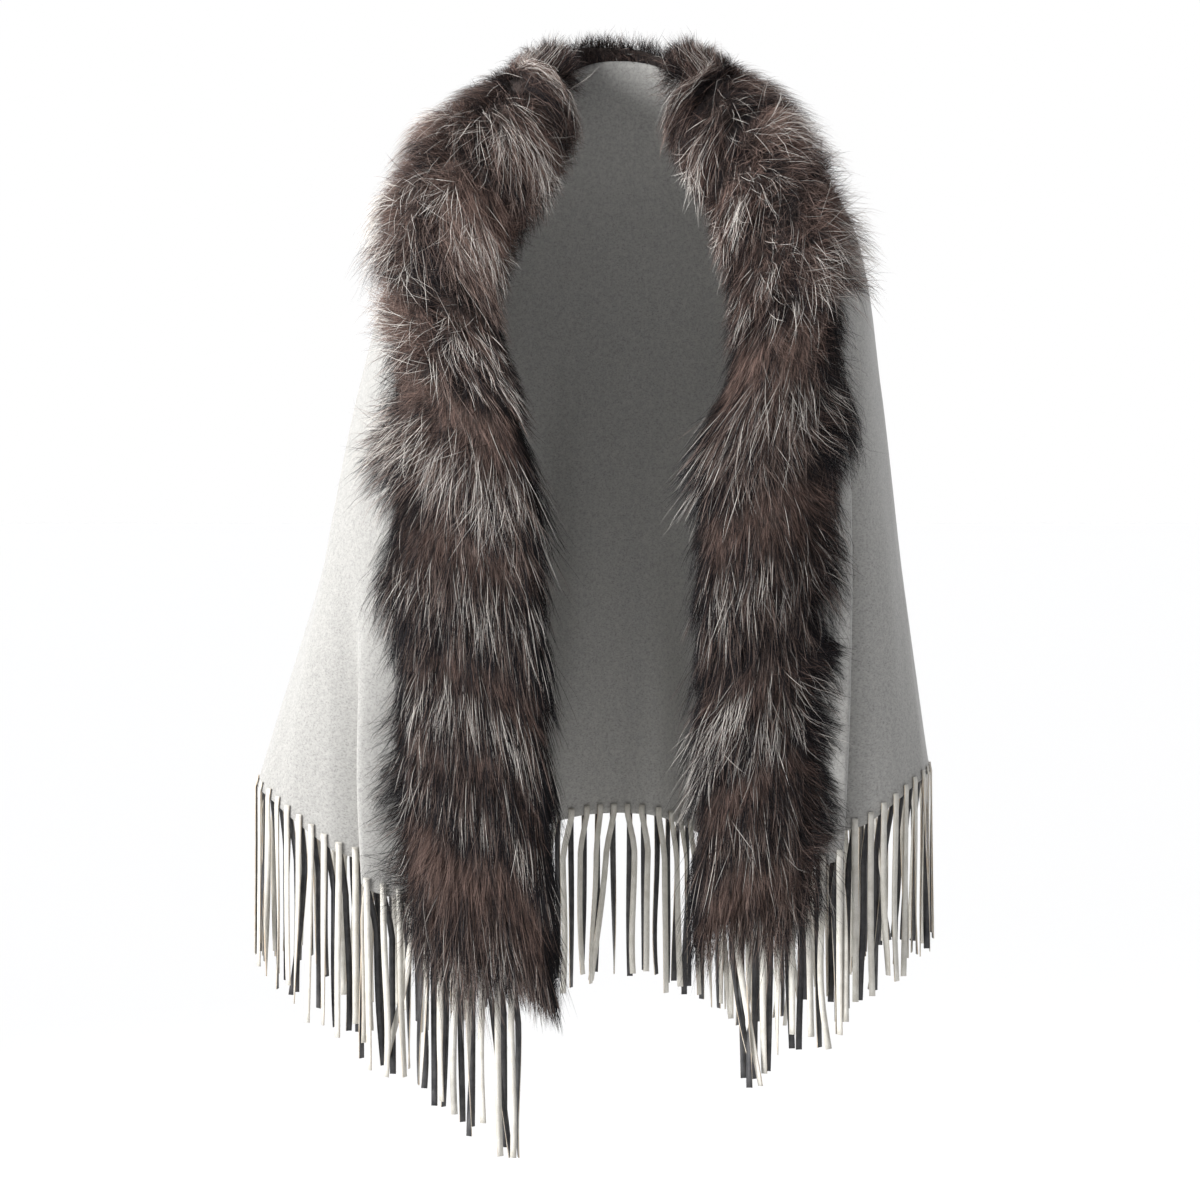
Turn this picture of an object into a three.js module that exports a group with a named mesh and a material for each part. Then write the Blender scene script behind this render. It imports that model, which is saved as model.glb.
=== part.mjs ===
// A fur-trimmed, fringed shawl cape worn open over the shoulders: a thin cloth panel that hangs from
// the neck, a fur strip along its whole front and neck edge, and a fringe curtain along its hem.
// Millimetres. The origin is the nape, +X the wearer's left, -Y the front and +Z up.
import * as THREE from 'three';

// Driving sizes
const clothWall = 2; // thickness of the felted cloth
const seamGap = 0.3; // clearance between neighbouring pieces
const furReach = { collar: 150, right: 142, left: 114 }; // how far the hair lies over the cloth
const furNose = 23; // how far the hair stands past the cloth's edge
const noseRise = 12; // thickness of the hair at that nose, above the cloth
const noseDip = 4; // and below it
const furTail = 42; // how far the hair hangs below the hem
const tailClear = 9; // clearance of the tail from the cloth's line, over the fringe
const tailThin = 0.33; // the part of its height that the hair loses at the tail's end
const tailLeast = 4; // least thickness of the tail's end
const furEnd = 1.1; // a cell of the grid has fur up to this many times the reach
const fringeLength = 190;
const fringeTop = 2; // thickness of the fringe curtain at the hem
const fringeFoot = 2.8; // and at its free end
const fringeGap = 0.6; // from the cloth's raw hem to the curtain, where the cloth leans
const fringeInset = 1; // columns left bare at each front corner of the hem
const fringeRows = 2; // cells down the fringe
const down = new THREE.Vector3(0, 0, -1);

// How the cloth lies, level by level: drop is the way down the cloth from the neck edge.
// Each level is a line from one front edge, round the arm, across the back, to the other front edge.
const backLine = [
  { drop: 0, y: 3, z: 46 },
  { drop: 60, y: 4, z: -13 },
  { drop: 150, y: 49, z: -90 },
  { drop: 240, y: 67, z: -178 },
  { drop: 390, y: 74, z: -327 },
  { drop: 600, y: 78, z: -537 },
  { drop: 860, y: 88, z: -797 },
];
const rightLines = [
  { drop: 0, armX: 61, armY: -50, armZ: 25, edgeX: 78, edgeY: -112, edgeZ: -38 },
  { drop: 60, armX: 116, armY: -42, armZ: -12, edgeX: 96, edgeY: -152, edgeZ: -97 },
  { drop: 150, armX: 193, armY: -36, armZ: -62, edgeX: 138, edgeY: -195, edgeZ: -187 },
  { drop: 240, armX: 238, armY: -40, armZ: -150, edgeX: 137, edgeY: -215, edgeZ: -275 },
  { drop: 390, armX: 277, armY: -60, armZ: -310, edgeX: 104, edgeY: -225, edgeZ: -425 },
  { drop: 600, armX: 325, armY: -75, armZ: -522, edgeX: 95, edgeY: -215, edgeZ: -625 },
  { drop: 860, armX: 390, armY: -85, armZ: -745, edgeX: 86, edgeY: -205, edgeZ: -957 },
];
const leftLines = [
  { drop: 0, armX: 61, armY: -50, armZ: 27, edgeX: 80, edgeY: -112, edgeZ: -38 },
  { drop: 60, armX: 118, armY: -42, armZ: -8, edgeX: 102, edgeY: -152, edgeZ: -97 },
  { drop: 150, armX: 200, armY: -36, armZ: -58, edgeX: 128, edgeY: -195, edgeZ: -187 },
  { drop: 240, armX: 257, armY: -40, armZ: -150, edgeX: 130, edgeY: -215, edgeZ: -275 },
  { drop: 390, armX: 282, armY: -60, armZ: -310, edgeX: 100, edgeY: -225, edgeZ: -415 },
  { drop: 600, armX: 303, armY: -75, armZ: -515, edgeX: 98, edgeY: -215, edgeZ: -600 },
  { drop: 860, armX: 331, armY: -85, armZ: -730, edgeX: 92, edgeY: -205, edgeZ: -890 },
];

// The largest folds. `at` is the distance from the front edge along the level line, `half` half the
// fold's width, `tuck` how far it laps back on itself, `depth` how far it stands out, and `from`
// and `full` the drops where it starts and is fully grown. A fold without a tuck is a soft flute.
const folds = [
  { side: 'left', at: 140, half: 40, tuck: 25, depth: 15, from: 300, full: 470 },
  { side: 'left', at: 345, half: 80, tuck: 0, depth: 8, from: 260, full: 760 },
  { side: 'left', at: 470, half: 78, tuck: 0, depth: -26, from: 250, full: 860 },
  { side: 'left', at: 558, half: 90, tuck: 0, depth: 42, from: 230, full: 860 },
  { side: 'left', at: 648, half: 84, tuck: 0, depth: -34, from: 280, full: 860 },
  { side: 'left', at: 728, half: 76, tuck: 0, depth: 30, from: 240, full: 860 },
  { side: 'left', at: 796, half: 54, tuck: 0, depth: -14, from: 360, full: 860 },
  { side: 'right', at: 190, half: 42, tuck: 22, depth: 11, from: 520, full: 800 },
  { side: 'right', at: 452, half: 84, tuck: 0, depth: -30, from: 230, full: 860 },
  { side: 'right', at: 542, half: 82, tuck: 0, depth: 36, from: 260, full: 860 },
  { side: 'right', at: 624, half: 80, tuck: 0, depth: -36, from: 220, full: 860 },
  { side: 'right', at: 704, half: 86, tuck: 0, depth: 38, from: 250, full: 860 },
  { side: 'right', at: 786, half: 64, tuck: 0, depth: -24, from: 330, full: 860 },
];
// The corners between the slanted ends of the hem and its back hang lowest.
const cornerDip = { depth: 62, half: 175, from: 250 };

// The grid that every piece is cut from
const hemDrop = 860;
const bandCells = 5; // cells across the fur
const lowerRows = 12; // rows from the collar's fur down to the hem
const columnStep = 36; // widest column at the hem
const nearest = 3; // a fold's columns keep this far from the fur's reach
const fullness = 0.78; // how squarely a level turns round the arm: 1 is an ellipse
const curveSteps = 40; // steps in a quarter of a level line
const probe = 4; // distance over which a level line's direction is taken
const referenceLength = 850; // length of half a level line, at the hem
const frontLength = 240; // the part of it that keeps its distance from the front edge
const riseWeight = 0.4; // how much the rise of a level line counts in lengths along it
const fanLengths = { start: 90, full: 420 }; // half lengths over which the columns fan out from the neck
// Columns through a fold that laps back, closest where it turns, as parts of its half width
const lapStations = [-0.9, -0.62, -0.5, -0.42, -0.35, -0.25, 0, 0.25, 0.35, 0.42, 0.5, 0.62, 0.9];
const armStation = 370; // where the fronts meet the back
const cornerStation = 640; // where the slanted ends of the hem meet its straight back
const combRows = 1; // rows and columns on each side over which the hair's direction is evened out
const combColumns = 3;
const combings = 3; // and how many times
// Height of the fur above the cloth, against its distance from the edge as a part of its reach.
const furHeights = [[0, 18], [0.2, 34], [0.4, 42], [0.6, 42], [0.8, 34], [1, 6]];

const colours = { cloth: 0xc6c5c0, fur: 0x55494a, fringe: 0xd9d4c8 };
const roughness = { cloth: 0.95, fur: 0.8, fringe: 0.6 };

// Tables and curves

function between(value, low, high) {
  return Math.min(Math.max((value - low) / (high - low), 0), 1);
}

function easeIn(value, low, high) {
  const t = between(value, low, high);
  return t * t * (3 - 2 * t);
}

// A smooth curve through one column of a table, against drop.
function fromTable(rows, key, drop) {
  let k = 0;
  while (k < rows.length - 2 && drop > rows[k + 1].drop) k += 1;
  const slope = (m) => {
    const low = rows[Math.max(m - 1, 0)];
    const high = rows[Math.min(m + 1, rows.length - 1)];
    return (high[key] - low[key]) / (high.drop - low.drop);
  };
  const span = rows[k + 1].drop - rows[k].drop;
  const t = (drop - rows[k].drop) / span;
  const step = t * t * (3 - 2 * t);
  return rows[k][key] * (1 - step) + rows[k + 1][key] * step
    + span * (slope(k) * t * (1 - t) ** 2 - slope(k + 1) * t * t * (1 - t));
}

function furHeight(part) {
  for (let k = 1; k < furHeights.length; k += 1) {
    const [[near, low], [far, high]] = [furHeights[k - 1], furHeights[k]];
    if (part <= far) return low + (high - low) * between(part, near, far);
  }
  return furHeights.at(-1)[1];
}

// Half a level line, from the front edge round the arm to the centre back.
function levelLine(drop, side) {
  const lines = side === 'left' ? leftLines : rightLines;
  const outward = side === 'left' ? 1 : -1;
  const at = (key) => fromTable(lines, key, drop);
  const back = { y: fromTable(backLine, 'y', drop), z: fromTable(backLine, 'z', drop) };
  const [armX, armY, armZ] = [at('armX'), at('armY'), at('armZ')];
  const [edgeX, edgeY, edgeZ] = [at('edgeX'), at('edgeY'), at('edgeZ')];
  const points = [];
  for (let step = 0; step <= curveSteps; step += 1) {
    const angle = (step / curveSteps) * Math.PI / 2;
    const [across, along] = [Math.sin(angle) ** fullness, Math.cos(angle) ** fullness];
    const z = edgeZ + (armZ - edgeZ) * across;
    const x = edgeX + (armX - edgeX) * across;
    points.push(new THREE.Vector3(outward * x, armY + (edgeY - armY) * along, z));
  }
  for (let step = 1; step <= curveSteps; step += 1) {
    const angle = (step / curveSteps) * Math.PI / 2;
    const [across, along] = [Math.sin(angle) ** fullness, Math.cos(angle) ** fullness];
    const z = armZ + (back.z - armZ) * Math.sin(angle) ** 2;
    points.push(new THREE.Vector3(outward * armX * along, armY + (back.y - armY) * across, z));
  }
  return points;
}

function lengthsAlong(points) {
  const lengths = [0];
  for (let k = 1; k < points.length; k += 1) {
    const step = points[k].clone().sub(points[k - 1]);
    lengths.push(lengths[k - 1] + Math.hypot(step.x, step.y, step.z * riseWeight));
  }
  return lengths;
}

function pointAt(points, lengths, distance) {
  let k = 1;
  while (k < points.length - 1 && lengths[k] < distance) k += 1;
  const t = between(distance, lengths[k - 1], lengths[k]);
  return points[k - 1].clone().lerp(points[k], t);
}

// How far along a half line of the given length a column lies. The columns fan out from the neck.
function columnDistance(station, length) {
  const spread = easeIn(length, fanLengths.start, fanLengths.full);
  const front = frontLength * spread;
  if (station <= frontLength) return station * spread;
  return front + (length - front) * (station - frontLength) / (referenceLength - frontLength);
}

// Moves a point of the level line sideways and outwards where a fold passes through it.
function folded(points, lengths, distance, station, drop, side) {
  const point = pointAt(points, lengths, distance);
  const along = pointAt(points, lengths, distance + probe)
    .sub(pointAt(points, lengths, distance - probe)).setZ(0).normalize();
  const out = new THREE.Vector3(along.y, -along.x, 0).multiplyScalar(side === 'left' ? 1 : -1);
  for (const fold of folds.filter((entry) => entry.side === side)) {
    const q = (station - fold.at) / fold.half;
    const grown = easeIn(drop, fold.from, fold.full);
    if (Math.abs(q) >= 1 || grown === 0) continue;
    const bump = (1 - q * q) ** 2;
    const wave = Math.sin(Math.PI * q) * (1 - q * q);
    point.addScaledVector(along, -grown * fold.tuck * wave);
    point.addScaledVector(out, -grown * (fold.tuck ? fold.depth * wave : -fold.depth * bump));
  }
  const q = Math.min(Math.abs(station - cornerStation) / cornerDip.half, 1);
  point.z -= cornerDip.depth * (1 - q * q) ** 2 * easeIn(drop, cornerDip.from, hemDrop);
  return point;
}

// Columns of one side: the fur, the folds and the split lines, with no gap over columnStep.
function stationsOf(side) {
  const reach = furReach[side];
  const marks = [armStation, cornerStation, referenceLength];
  for (let k = 0; k <= bandCells; k += 1) marks.push(k * reach / bandCells);
  for (const fold of folds.filter((entry) => entry.side === side && entry.tuck)) {
    const turns = lapStations.map((q) => fold.at + q * fold.half);
    marks.push(...turns.filter((mark) => mark > reach + nearest));
  }
  marks.sort((a, b) => a - b);
  const stations = [marks[0]];
  for (const mark of marks.slice(1)) {
    const from = stations.at(-1);
    const cells = Math.ceil((mark - from) / columnStep);
    for (let k = 1; k <= cells; k += 1) stations.push(from + (mark - from) * k / cells);
  }
  return stations;
}

const drops = [];
for (let k = 0; k < bandCells; k += 1) drops.push(k * furReach.collar / bandCells);
for (let k = 0; k <= lowerRows; k += 1) {
  drops.push(furReach.collar + (hemDrop - furReach.collar) * k / lowerRows);
}
const hemRow = drops.length - 1;
const reachRow = bandCells;

// One column for each station, from the wearer's right front edge round the back to the left one.
const columns = [
  ...stationsOf('right').map((station) => ({ side: 'right', station })),
  ...stationsOf('left').slice(0, -1).reverse().map((station) => ({ side: 'left', station })),
];
const lastColumn = columns.length - 1;
const columnAt = (side, station) => columns.findIndex(
  (column) => column.side === side && Math.abs(column.station - station) < 0.01);
const arms = { right: columnAt('right', armStation), left: columnAt('left', armStation) };
const corners = { right: columnAt('right', cornerStation), left: columnAt('left', cornerStation) };

const middles = drops.map((drop) => {
  const halves = {};
  for (const side of ['right', 'left']) {
    const points = levelLine(drop, side);
    const lengths = lengthsAlong(points);
    halves[side] = { points, lengths };
  }
  return columns.map(({ side, station }) => {
    const { points, lengths } = halves[side];
    return folded(points, lengths, columnDistance(station, lengths.at(-1)), station, drop, side);
  });
});

// How far each point is from the trimmed edge, as a part of the fur's reach there. The edge is
// straight where the neck meets the fronts, and the columns fan out from it.
const furParts = drops.map((drop) => columns.map(({ side, station }) => {
  const away = columnDistance(station, lengthsAlong(levelLine(drop, side)).at(-1));
  const turn = drop > 0 ? Math.min(away / drop, Math.PI / 2) : Math.PI / 2;
  const mix = turn / (Math.PI / 2);
  return drop * Math.sin(turn) / (furReach[side] * (1 - mix) + furReach.collar * mix);
}));

function difference(row, column, downRows, acrossColumns) {
  const clampRow = (k) => Math.min(Math.max(k, 0), hemRow);
  const clampColumn = (k) => Math.min(Math.max(k, 0), lastColumn);
  const ahead = middles[clampRow(row + downRows)][clampColumn(column + acrossColumns)];
  const behind = middles[clampRow(row - downRows)][clampColumn(column - acrossColumns)];
  return ahead.clone().sub(behind).normalize();
}

// The outward direction of one cell of the grid, and of the cells round a point.
function cellNormal(row, column) {
  const point = (k, m) => middles[row + k][column + m].clone();
  return point(1, 1).sub(point(0, 0)).cross(point(1, 0).sub(point(0, 1))).normalize();
}

const normals = middles.map((line, row) => line.map((_, column) => {
  const sum = new THREE.Vector3();
  for (const k of [row - 1, row]) {
    for (const m of [column - 1, column]) {
      if (k >= 0 && k < hemRow && m >= 0 && m < lastColumn) sum.add(cellNormal(k, m));
    }
  }
  return sum.normalize();
}));

// Hair lies over the creases in the cloth, so it stands along directions shared with its neighbours.
function combed(directions) {
  return directions.map((line, row) => line.map((_, column) => {
    const sum = new THREE.Vector3();
    const [firstColumn, pastColumn] = [Math.max(column - combColumns, 0), column + combColumns + 1];
    for (const near of directions.slice(Math.max(row - combRows, 0), row + combRows + 1)) {
      near.slice(firstColumn, pastColumn).forEach((direction) => sum.add(direction));
    }
    return sum.normalize();
  }));
}
let hairNormals = normals;
for (let k = 0; k < combings; k += 1) hairNormals = combed(hairNormals);

// The same point moved out of the cloth's middle along its normal.
function raised(row, column, height) {
  const inRow = Math.min(Math.max(row, 0), hemRow);
  return middles[inRow][column].clone().addScaledVector(normals[inRow][column], height);
}

// The level direction out of the hem.
function levelOut(column) {
  return normals[hemRow][column].clone().setZ(0).normalize();
}

// Bodies

// A closed body between two skins over the same cells. Each cell lists its corners anticlockwise
// as seen from the upper skin, and the rim of the cells gets the walls between the skins.
function closedBody(cells, lower, upper) {
  const [positions, triangles] = [[], []];
  const known = new Map();
  const vertex = (key, skin) => {
    const name = `${skin === upper} ${key}`;
    if (!known.has(name)) {
      known.set(name, known.size);
      positions.push(...skin(...key).toArray());
    }
    return known.get(name);
  };
  const rim = new Map();
  for (const cell of cells) {
    cell.forEach((from, k) => {
      const to = cell[(k + 1) % cell.length];
      if (!rim.delete(`${to} ${from}`)) rim.set(`${from} ${to}`, [from, to]);
    });
  }
  // Neighbouring bodies cut a shared wall along the same diagonal, so they can't cross there.
  for (const [from, to] of rim.values()) {
    const [lowFrom, lowTo] = [vertex(from, lower), vertex(to, lower)];
    const [highFrom, highTo] = [vertex(from, upper), vertex(to, upper)];
    if (from[0] < to[0] || (from[0] === to[0] && from[1] < to[1])) {
      triangles.push(lowFrom, lowTo, highTo, lowFrom, highTo, highFrom);
    } else {
      triangles.push(lowFrom, lowTo, highFrom, lowTo, highTo, highFrom);
    }
  }
  for (const cell of cells) {
    for (let k = 2; k < cell.length; k += 1) {
      triangles.push(vertex(cell[0], upper), vertex(cell[k - 1], upper), vertex(cell[k], upper));
      triangles.push(vertex(cell[0], lower), vertex(cell[k], lower), vertex(cell[k - 1], lower));
    }
  }
  const geometry = new THREE.BufferGeometry();
  geometry.setAttribute('position', new THREE.Float32BufferAttribute(positions, 3));
  geometry.setIndex(triangles);
  geometry.computeVertexNormals();
  return geometry;
}

function cellsBetween(firstRow, lastRow, firstColumn, finalColumn) {
  const cells = [];
  for (let row = firstRow; row < lastRow; row += 1) {
    for (let column = firstColumn; column < finalColumn; column += 1) {
      cells.push([[row, column], [row, column + 1], [row + 1, column + 1], [row + 1, column]]);
    }
  }
  return cells;
}

// Steps a skin's point straight back from a split line, towards the piece's own side of it.
function stepBack(point, skin, row, column, split) {
  if (split.column !== column) return point;
  const line = skin(row + 1, column).sub(skin(row - 1, column)).normalize();
  const inward = skin(row, column + split.inward).sub(point);
  return point.addScaledVector(inward.addScaledVector(line, -inward.dot(line)).normalize(), seamGap);
}

function clothBody(firstColumn, finalColumn, split) {
  const skinAt = (height) => {
    const plain = (row, column) => raised(row, column, height);
    return (row, column) => stepBack(plain(row, column), plain, row, column, split);
  };
  const cells = cellsBetween(0, hemRow, firstColumn, finalColumn);
  return closedBody(cells, skinAt(-clothWall / 2), skinAt(clothWall / 2));
}

// The direction past the trimmed edge of the cloth: up at the neck, across the opening at a front.
function edgeOutward(row, column) {
  const normal = hairNormals[row][column];
  const up = difference(0, column, 0, combColumns).cross(normal).normalize();
  if (row === 0 && column > 0 && column < lastColumn) return up;
  const across = difference(row, column, 1, 0).cross(normal).multiplyScalar(column === 0 ? -1 : 1);
  return row > 0 ? across.normalize() : across.normalize().add(up).normalize();
}

// Fur skins. Row -1 and columns -1 and lastColumn + 1 are the nose past the edge, row hemRow + 1
// the tail below the hem.
function furSkin(isUpper) {
  const base = clothWall / 2 + seamGap;
  return (row, column) => {
    const inRow = Math.min(Math.max(row, 0), hemRow);
    const inColumn = Math.min(Math.max(column, 0), lastColumn);
    const height = furHeight(furParts[inRow][inColumn]);
    const isNose = row < 0 || column < 0 || column > lastColumn;
    const point = raised(inRow, inColumn, isNose ? 0 : base);
    if (isNose) point.addScaledVector(hairNormals[inRow][inColumn], isUpper ? noseRise : -noseDip);
    else if (isUpper) point.addScaledVector(hairNormals[inRow][inColumn], height);
    if (isNose) point.addScaledVector(edgeOutward(inRow, inColumn), furNose);
    if (row > hemRow) {
      point.z -= furTail;
      const ends = { lower: tailClear, upper: Math.max(height * (1 - tailThin), tailClear + tailLeast) };
      if (!isUpper && !isNose) point.addScaledVector(levelOut(inColumn), ends.lower);
      if (isUpper && !isNose) point.addScaledVector(levelOut(inColumn), ends.upper - height);
    }
    return point;
  };
}

// The corner of the neck and front edges is straight, so both noses share one point there.
function sharedCorner([row, column]) {
  if (row === 0 && column === -1) return [-1, 0];
  if (row === 0 && column === lastColumn + 1) return [-1, lastColumn];
  return [row, column];
}

function collarBody() {
  const cells = [
    ...cellsBetween(-1, reachRow, 0, lastColumn),
    ...cellsBetween(0, reachRow, -1, 0),
    ...cellsBetween(0, reachRow, lastColumn, lastColumn + 1),
  ].map((cell) => cell.map(sharedCorner));
  return closedBody(cells, furSkin(false), furSkin(true));
}

function isFurred(cell) {
  const parts = cell.map(([row, column]) => (
    row > hemRow || column < 0 || column > lastColumn ? 0 : furParts[row][column]));
  return Math.max(...parts) < furEnd;
}

function frontFurBody(side) {
  const [first, final] = side === 'right' ? [-1, arms.right] : [arms.left, lastColumn + 1];
  const lowered = (skin) => (row, column) => {
    const point = skin(row, column);
    if (row !== reachRow) return point;
    return point.addScaledVector(skin(row + 1, column).sub(point).normalize(), seamGap);
  };
  const cells = cellsBetween(reachRow, hemRow + 1, first, final).filter(isFurred);
  return closedBody(cells, lowered(furSkin(false)), lowered(furSkin(true)));
}

// A fringe curtain hangs straight down from the hem and grows a little thicker to its free end.
function fringeBody(firstColumn, finalColumn, split) {
  const length = fringeLength - fringeGap;
  const skinAt = (outward) => {
    const plain = (row, column) => {
      const fallen = row / fringeRows;
      const thickness = fringeTop + (fringeFoot - fringeTop) * fallen;
      const point = middles[hemRow][column].clone().addScaledVector(down, fringeGap + length * fallen);
      return point.addScaledVector(levelOut(column), outward * thickness / 2);
    };
    return (row, column) => stepBack(plain(row, column), plain, row, column, split);
  };
  return closedBody(cellsBetween(0, fringeRows, firstColumn, finalColumn), skinAt(-1), skinAt(1));
}

// The object

const cape = new THREE.Group();

function addPiece(name, geometry, stuff) {
  const material = new THREE.MeshStandardMaterial({
    color: colours[stuff], roughness: roughness[stuff], metalness: 0,
  });
  const piece = new THREE.Mesh(geometry, material);
  piece.name = name;
  cape.add(piece);
}

const whole = { column: -1, inward: 0 };

addPiece('cloth_front_right', clothBody(0, arms.right, { column: arms.right, inward: -1 }), 'cloth');
addPiece('cloth_back', clothBody(arms.right, arms.left, whole), 'cloth');
addPiece('cloth_front_left', clothBody(arms.left, lastColumn, { column: arms.left, inward: 1 }), 'cloth');
addPiece('fur_collar', collarBody(), 'fur');
addPiece('fur_front_right', frontFurBody('right'), 'fur');
addPiece('fur_front_left', frontFurBody('left'), 'fur');
addPiece('fringe_right',
  fringeBody(fringeInset, corners.right, { column: corners.right, inward: -1 }), 'fringe');
addPiece('fringe_back', fringeBody(corners.right, corners.left, whole), 'fringe');
addPiece('fringe_left',
  fringeBody(corners.left, lastColumn - fringeInset, { column: corners.left, inward: 1 }), 'fringe');

export default cape;
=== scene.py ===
import math

import bmesh
import bpy
import numpy as np
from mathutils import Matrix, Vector


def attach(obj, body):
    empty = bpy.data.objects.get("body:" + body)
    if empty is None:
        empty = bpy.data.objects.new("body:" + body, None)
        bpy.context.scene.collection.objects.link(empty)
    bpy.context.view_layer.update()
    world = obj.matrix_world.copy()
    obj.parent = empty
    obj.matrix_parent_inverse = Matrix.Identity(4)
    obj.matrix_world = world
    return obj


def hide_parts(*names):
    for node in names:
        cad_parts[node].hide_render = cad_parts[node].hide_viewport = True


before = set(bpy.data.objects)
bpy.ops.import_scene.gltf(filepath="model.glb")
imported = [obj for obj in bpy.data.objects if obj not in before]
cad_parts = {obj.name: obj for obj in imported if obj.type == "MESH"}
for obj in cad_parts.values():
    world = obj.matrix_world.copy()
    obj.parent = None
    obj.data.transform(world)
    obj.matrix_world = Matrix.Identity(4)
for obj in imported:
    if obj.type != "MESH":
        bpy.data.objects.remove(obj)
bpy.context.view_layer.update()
print("frame loaded")

mm = 0.001
down = np.array([0.0, 0.0, -1.0])
sideSigns = {"right": -1, "left": 1}  # the wearer's, along X


def easeIn(value, low, high):
    t = np.clip((value - low) / (high - low), 0, 1)
    return t * t * (3 - 2 * t)


# A smooth hump, 1 in the middle.
def hump(value, middle, half):
    return np.exp(-((value - middle) / half) ** 2)


def unit(vectors):
    return vectors / np.maximum(np.linalg.norm(vectors, axis=-1, keepdims=True), 1e-9)


# Each side, with which of the places are on it.
def bySide(onRight):
    return ("right", onRight), ("left", ~onRight)


# Smooth noise from -1 to 1 over a plane; one step of x or y is one bump.
def softNoise(x, y, seed):
    table = np.random.default_rng(seed).uniform(-1, 1, (64, 64))
    column, row = np.floor(x).astype(int), np.floor(y).astype(int)
    a, b = x - column, y - row
    a, b = a * a * (3 - 2 * a), b * b * (3 - 2 * b)

    def corner(m, k):
        return table[(row + k) % 64, (column + m) % 64]

    return ((corner(0, 0) * (1 - a) + corner(1, 0) * a) * (1 - b)
            + (corner(0, 1) * (1 - a) + corner(1, 1) * a) * b)


# One steady random number from 0 to 1 for each whole number, for tufts and clumps.
def ownChance(number, seed):
    value = np.sin(number * 12.9898 + seed * 78.233) * 43758.5453
    return value - np.floor(value)


# How the cloth hangs: the same levels as the solids, in millimetres.
cut = {
    "hemDrop": 860, "halfLength": 850, "frontLength": 240, "fullness": 0.78, "riseWeight": 0.4,
    "fanStart": 90, "fanFull": 420, "curveSteps": 60, "probe": 4,
    "cornerAt": 640, "cornerDip": 62, "cornerHalf": 175, "cornerFrom": 250,
    "wall": 2, "columnStep": 6.8, "lapStep": 3.2, "closest": 1.2, "rowStep": 7.6,
    "slack": 1.6, "fineSlack": 0.7, "slackFrom": 90, "slackFull": 420,
}

# Where each level passes, at each of these drops: the centre back, and for each side the outside of
# the arm and the front edge.
levelDrops = [0, 60, 150, 240, 390, 600, 860]
backLine = {"y": [3, 4, 49, 67, 74, 78, 88], "z": [46, -13, -90, -178, -327, -537, -797]}
bothSides = {"armY": [-50, -42, -36, -40, -60, -75, -85],
             "edgeY": [-112, -152, -195, -215, -225, -215, -205]}
sideLines = {
    "right": {
        "armX": [61, 116, 193, 238, 277, 325, 390], "armZ": [25, -12, -62, -150, -310, -522, -745],
        "edgeX": [78, 96, 138, 137, 104, 95, 86],
        "edgeZ": [-38, -97, -187, -275, -425, -625, -957],
    },
    "left": {
        "armX": [61, 118, 200, 257, 282, 303, 331], "armZ": [27, -8, -58, -150, -310, -515, -730],
        "edgeX": [80, 102, 128, 130, 100, 98, 92],
        "edgeZ": [-38, -97, -187, -275, -415, -600, -890],
    },
}

# The largest folds: station from the front edge, half width, lap back, depth, and where they grow.
foldColumns = ("side", "at", "half", "tuck", "depth", "start", "full")
folds = [dict(zip(foldColumns, row)) for row in [
    ("left", 140, 40, 25, 15, 300, 470), ("left", 345, 80, 0, 8, 260, 760),
    ("left", 470, 78, 0, -26, 250, 860), ("left", 558, 90, 0, 42, 230, 860),
    ("left", 648, 84, 0, -34, 280, 860), ("left", 728, 76, 0, 30, 240, 860),
    ("left", 796, 54, 0, -14, 360, 860), ("right", 190, 42, 22, 11, 520, 800),
    ("right", 452, 84, 0, -30, 230, 860), ("right", 542, 82, 0, 36, 260, 860),
    ("right", 624, 80, 0, -36, 220, 860), ("right", 704, 86, 0, 38, 250, 860),
    ("right", 786, 64, 0, -24, 330, 860),
]]

# Soft creases laid over those: where each lies round the cloth (0 is the centre back, the wearer's
# right is negative), the drops it runs between, its width, height and how far its foot leans.
creaseColumns = ("at", "top", "foot", "width", "height", "lean")
creases = [dict(zip(creaseColumns, row)) for row in [
    (-742, 420, 860, 16, 1.6, 14), (-700, 610, 860, 12, -1.8, -10), (-610, 250, 700, 26, 2.6, 46),
    (-560, 520, 860, 18, -2.4, 22), (-505, 330, 860, 24, 2.2, 18), (-455, 640, 860, 13, 2.0, -8),
    (-418, 200, 520, 22, -2.8, 26), (-350, 420, 860, 17, 2.4, 12), (-268, 300, 640, 20, -2.2, -20),
    (-196, 560, 860, 15, 2.4, 10), (-118, 240, 700, 24, 2.0, 16), (-40, 480, 860, 17, -2.2, -10),
    (36, 280, 620, 22, 2.6, 12), (104, 600, 860, 14, 2.2, 6), (172, 260, 760, 20, -2.4, -18),
    (250, 500, 860, 18, 2.6, -12), (322, 310, 690, 20, 2.0, -16), (398, 230, 560, 24, -2.6, -22),
    (452, 430, 860, 16, 2.4, -10), (520, 300, 780, 20, -2.0, -24), (566, 560, 860, 13, 1.8, 8),
    (622, 380, 860, 18, -1.8, -12),
]]


# A smooth curve through a row of a table, against drop.
def alongTable(values, drop):
    k = min(max(np.searchsorted(levelDrops, drop, side="left") - 1, 0), len(levelDrops) - 2)

    def slope(m):
        low, high = max(m - 1, 0), min(m + 1, len(levelDrops) - 1)
        return (values[high] - values[low]) / (levelDrops[high] - levelDrops[low])

    span = levelDrops[k + 1] - levelDrops[k]
    t = (drop - levelDrops[k]) / span
    step = t * t * (3 - 2 * t)
    return (values[k] * (1 - step) + values[k + 1] * step
            + span * (slope(k) * t * (1 - t) ** 2 - slope(k + 1) * t * t * (1 - t)))


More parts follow.
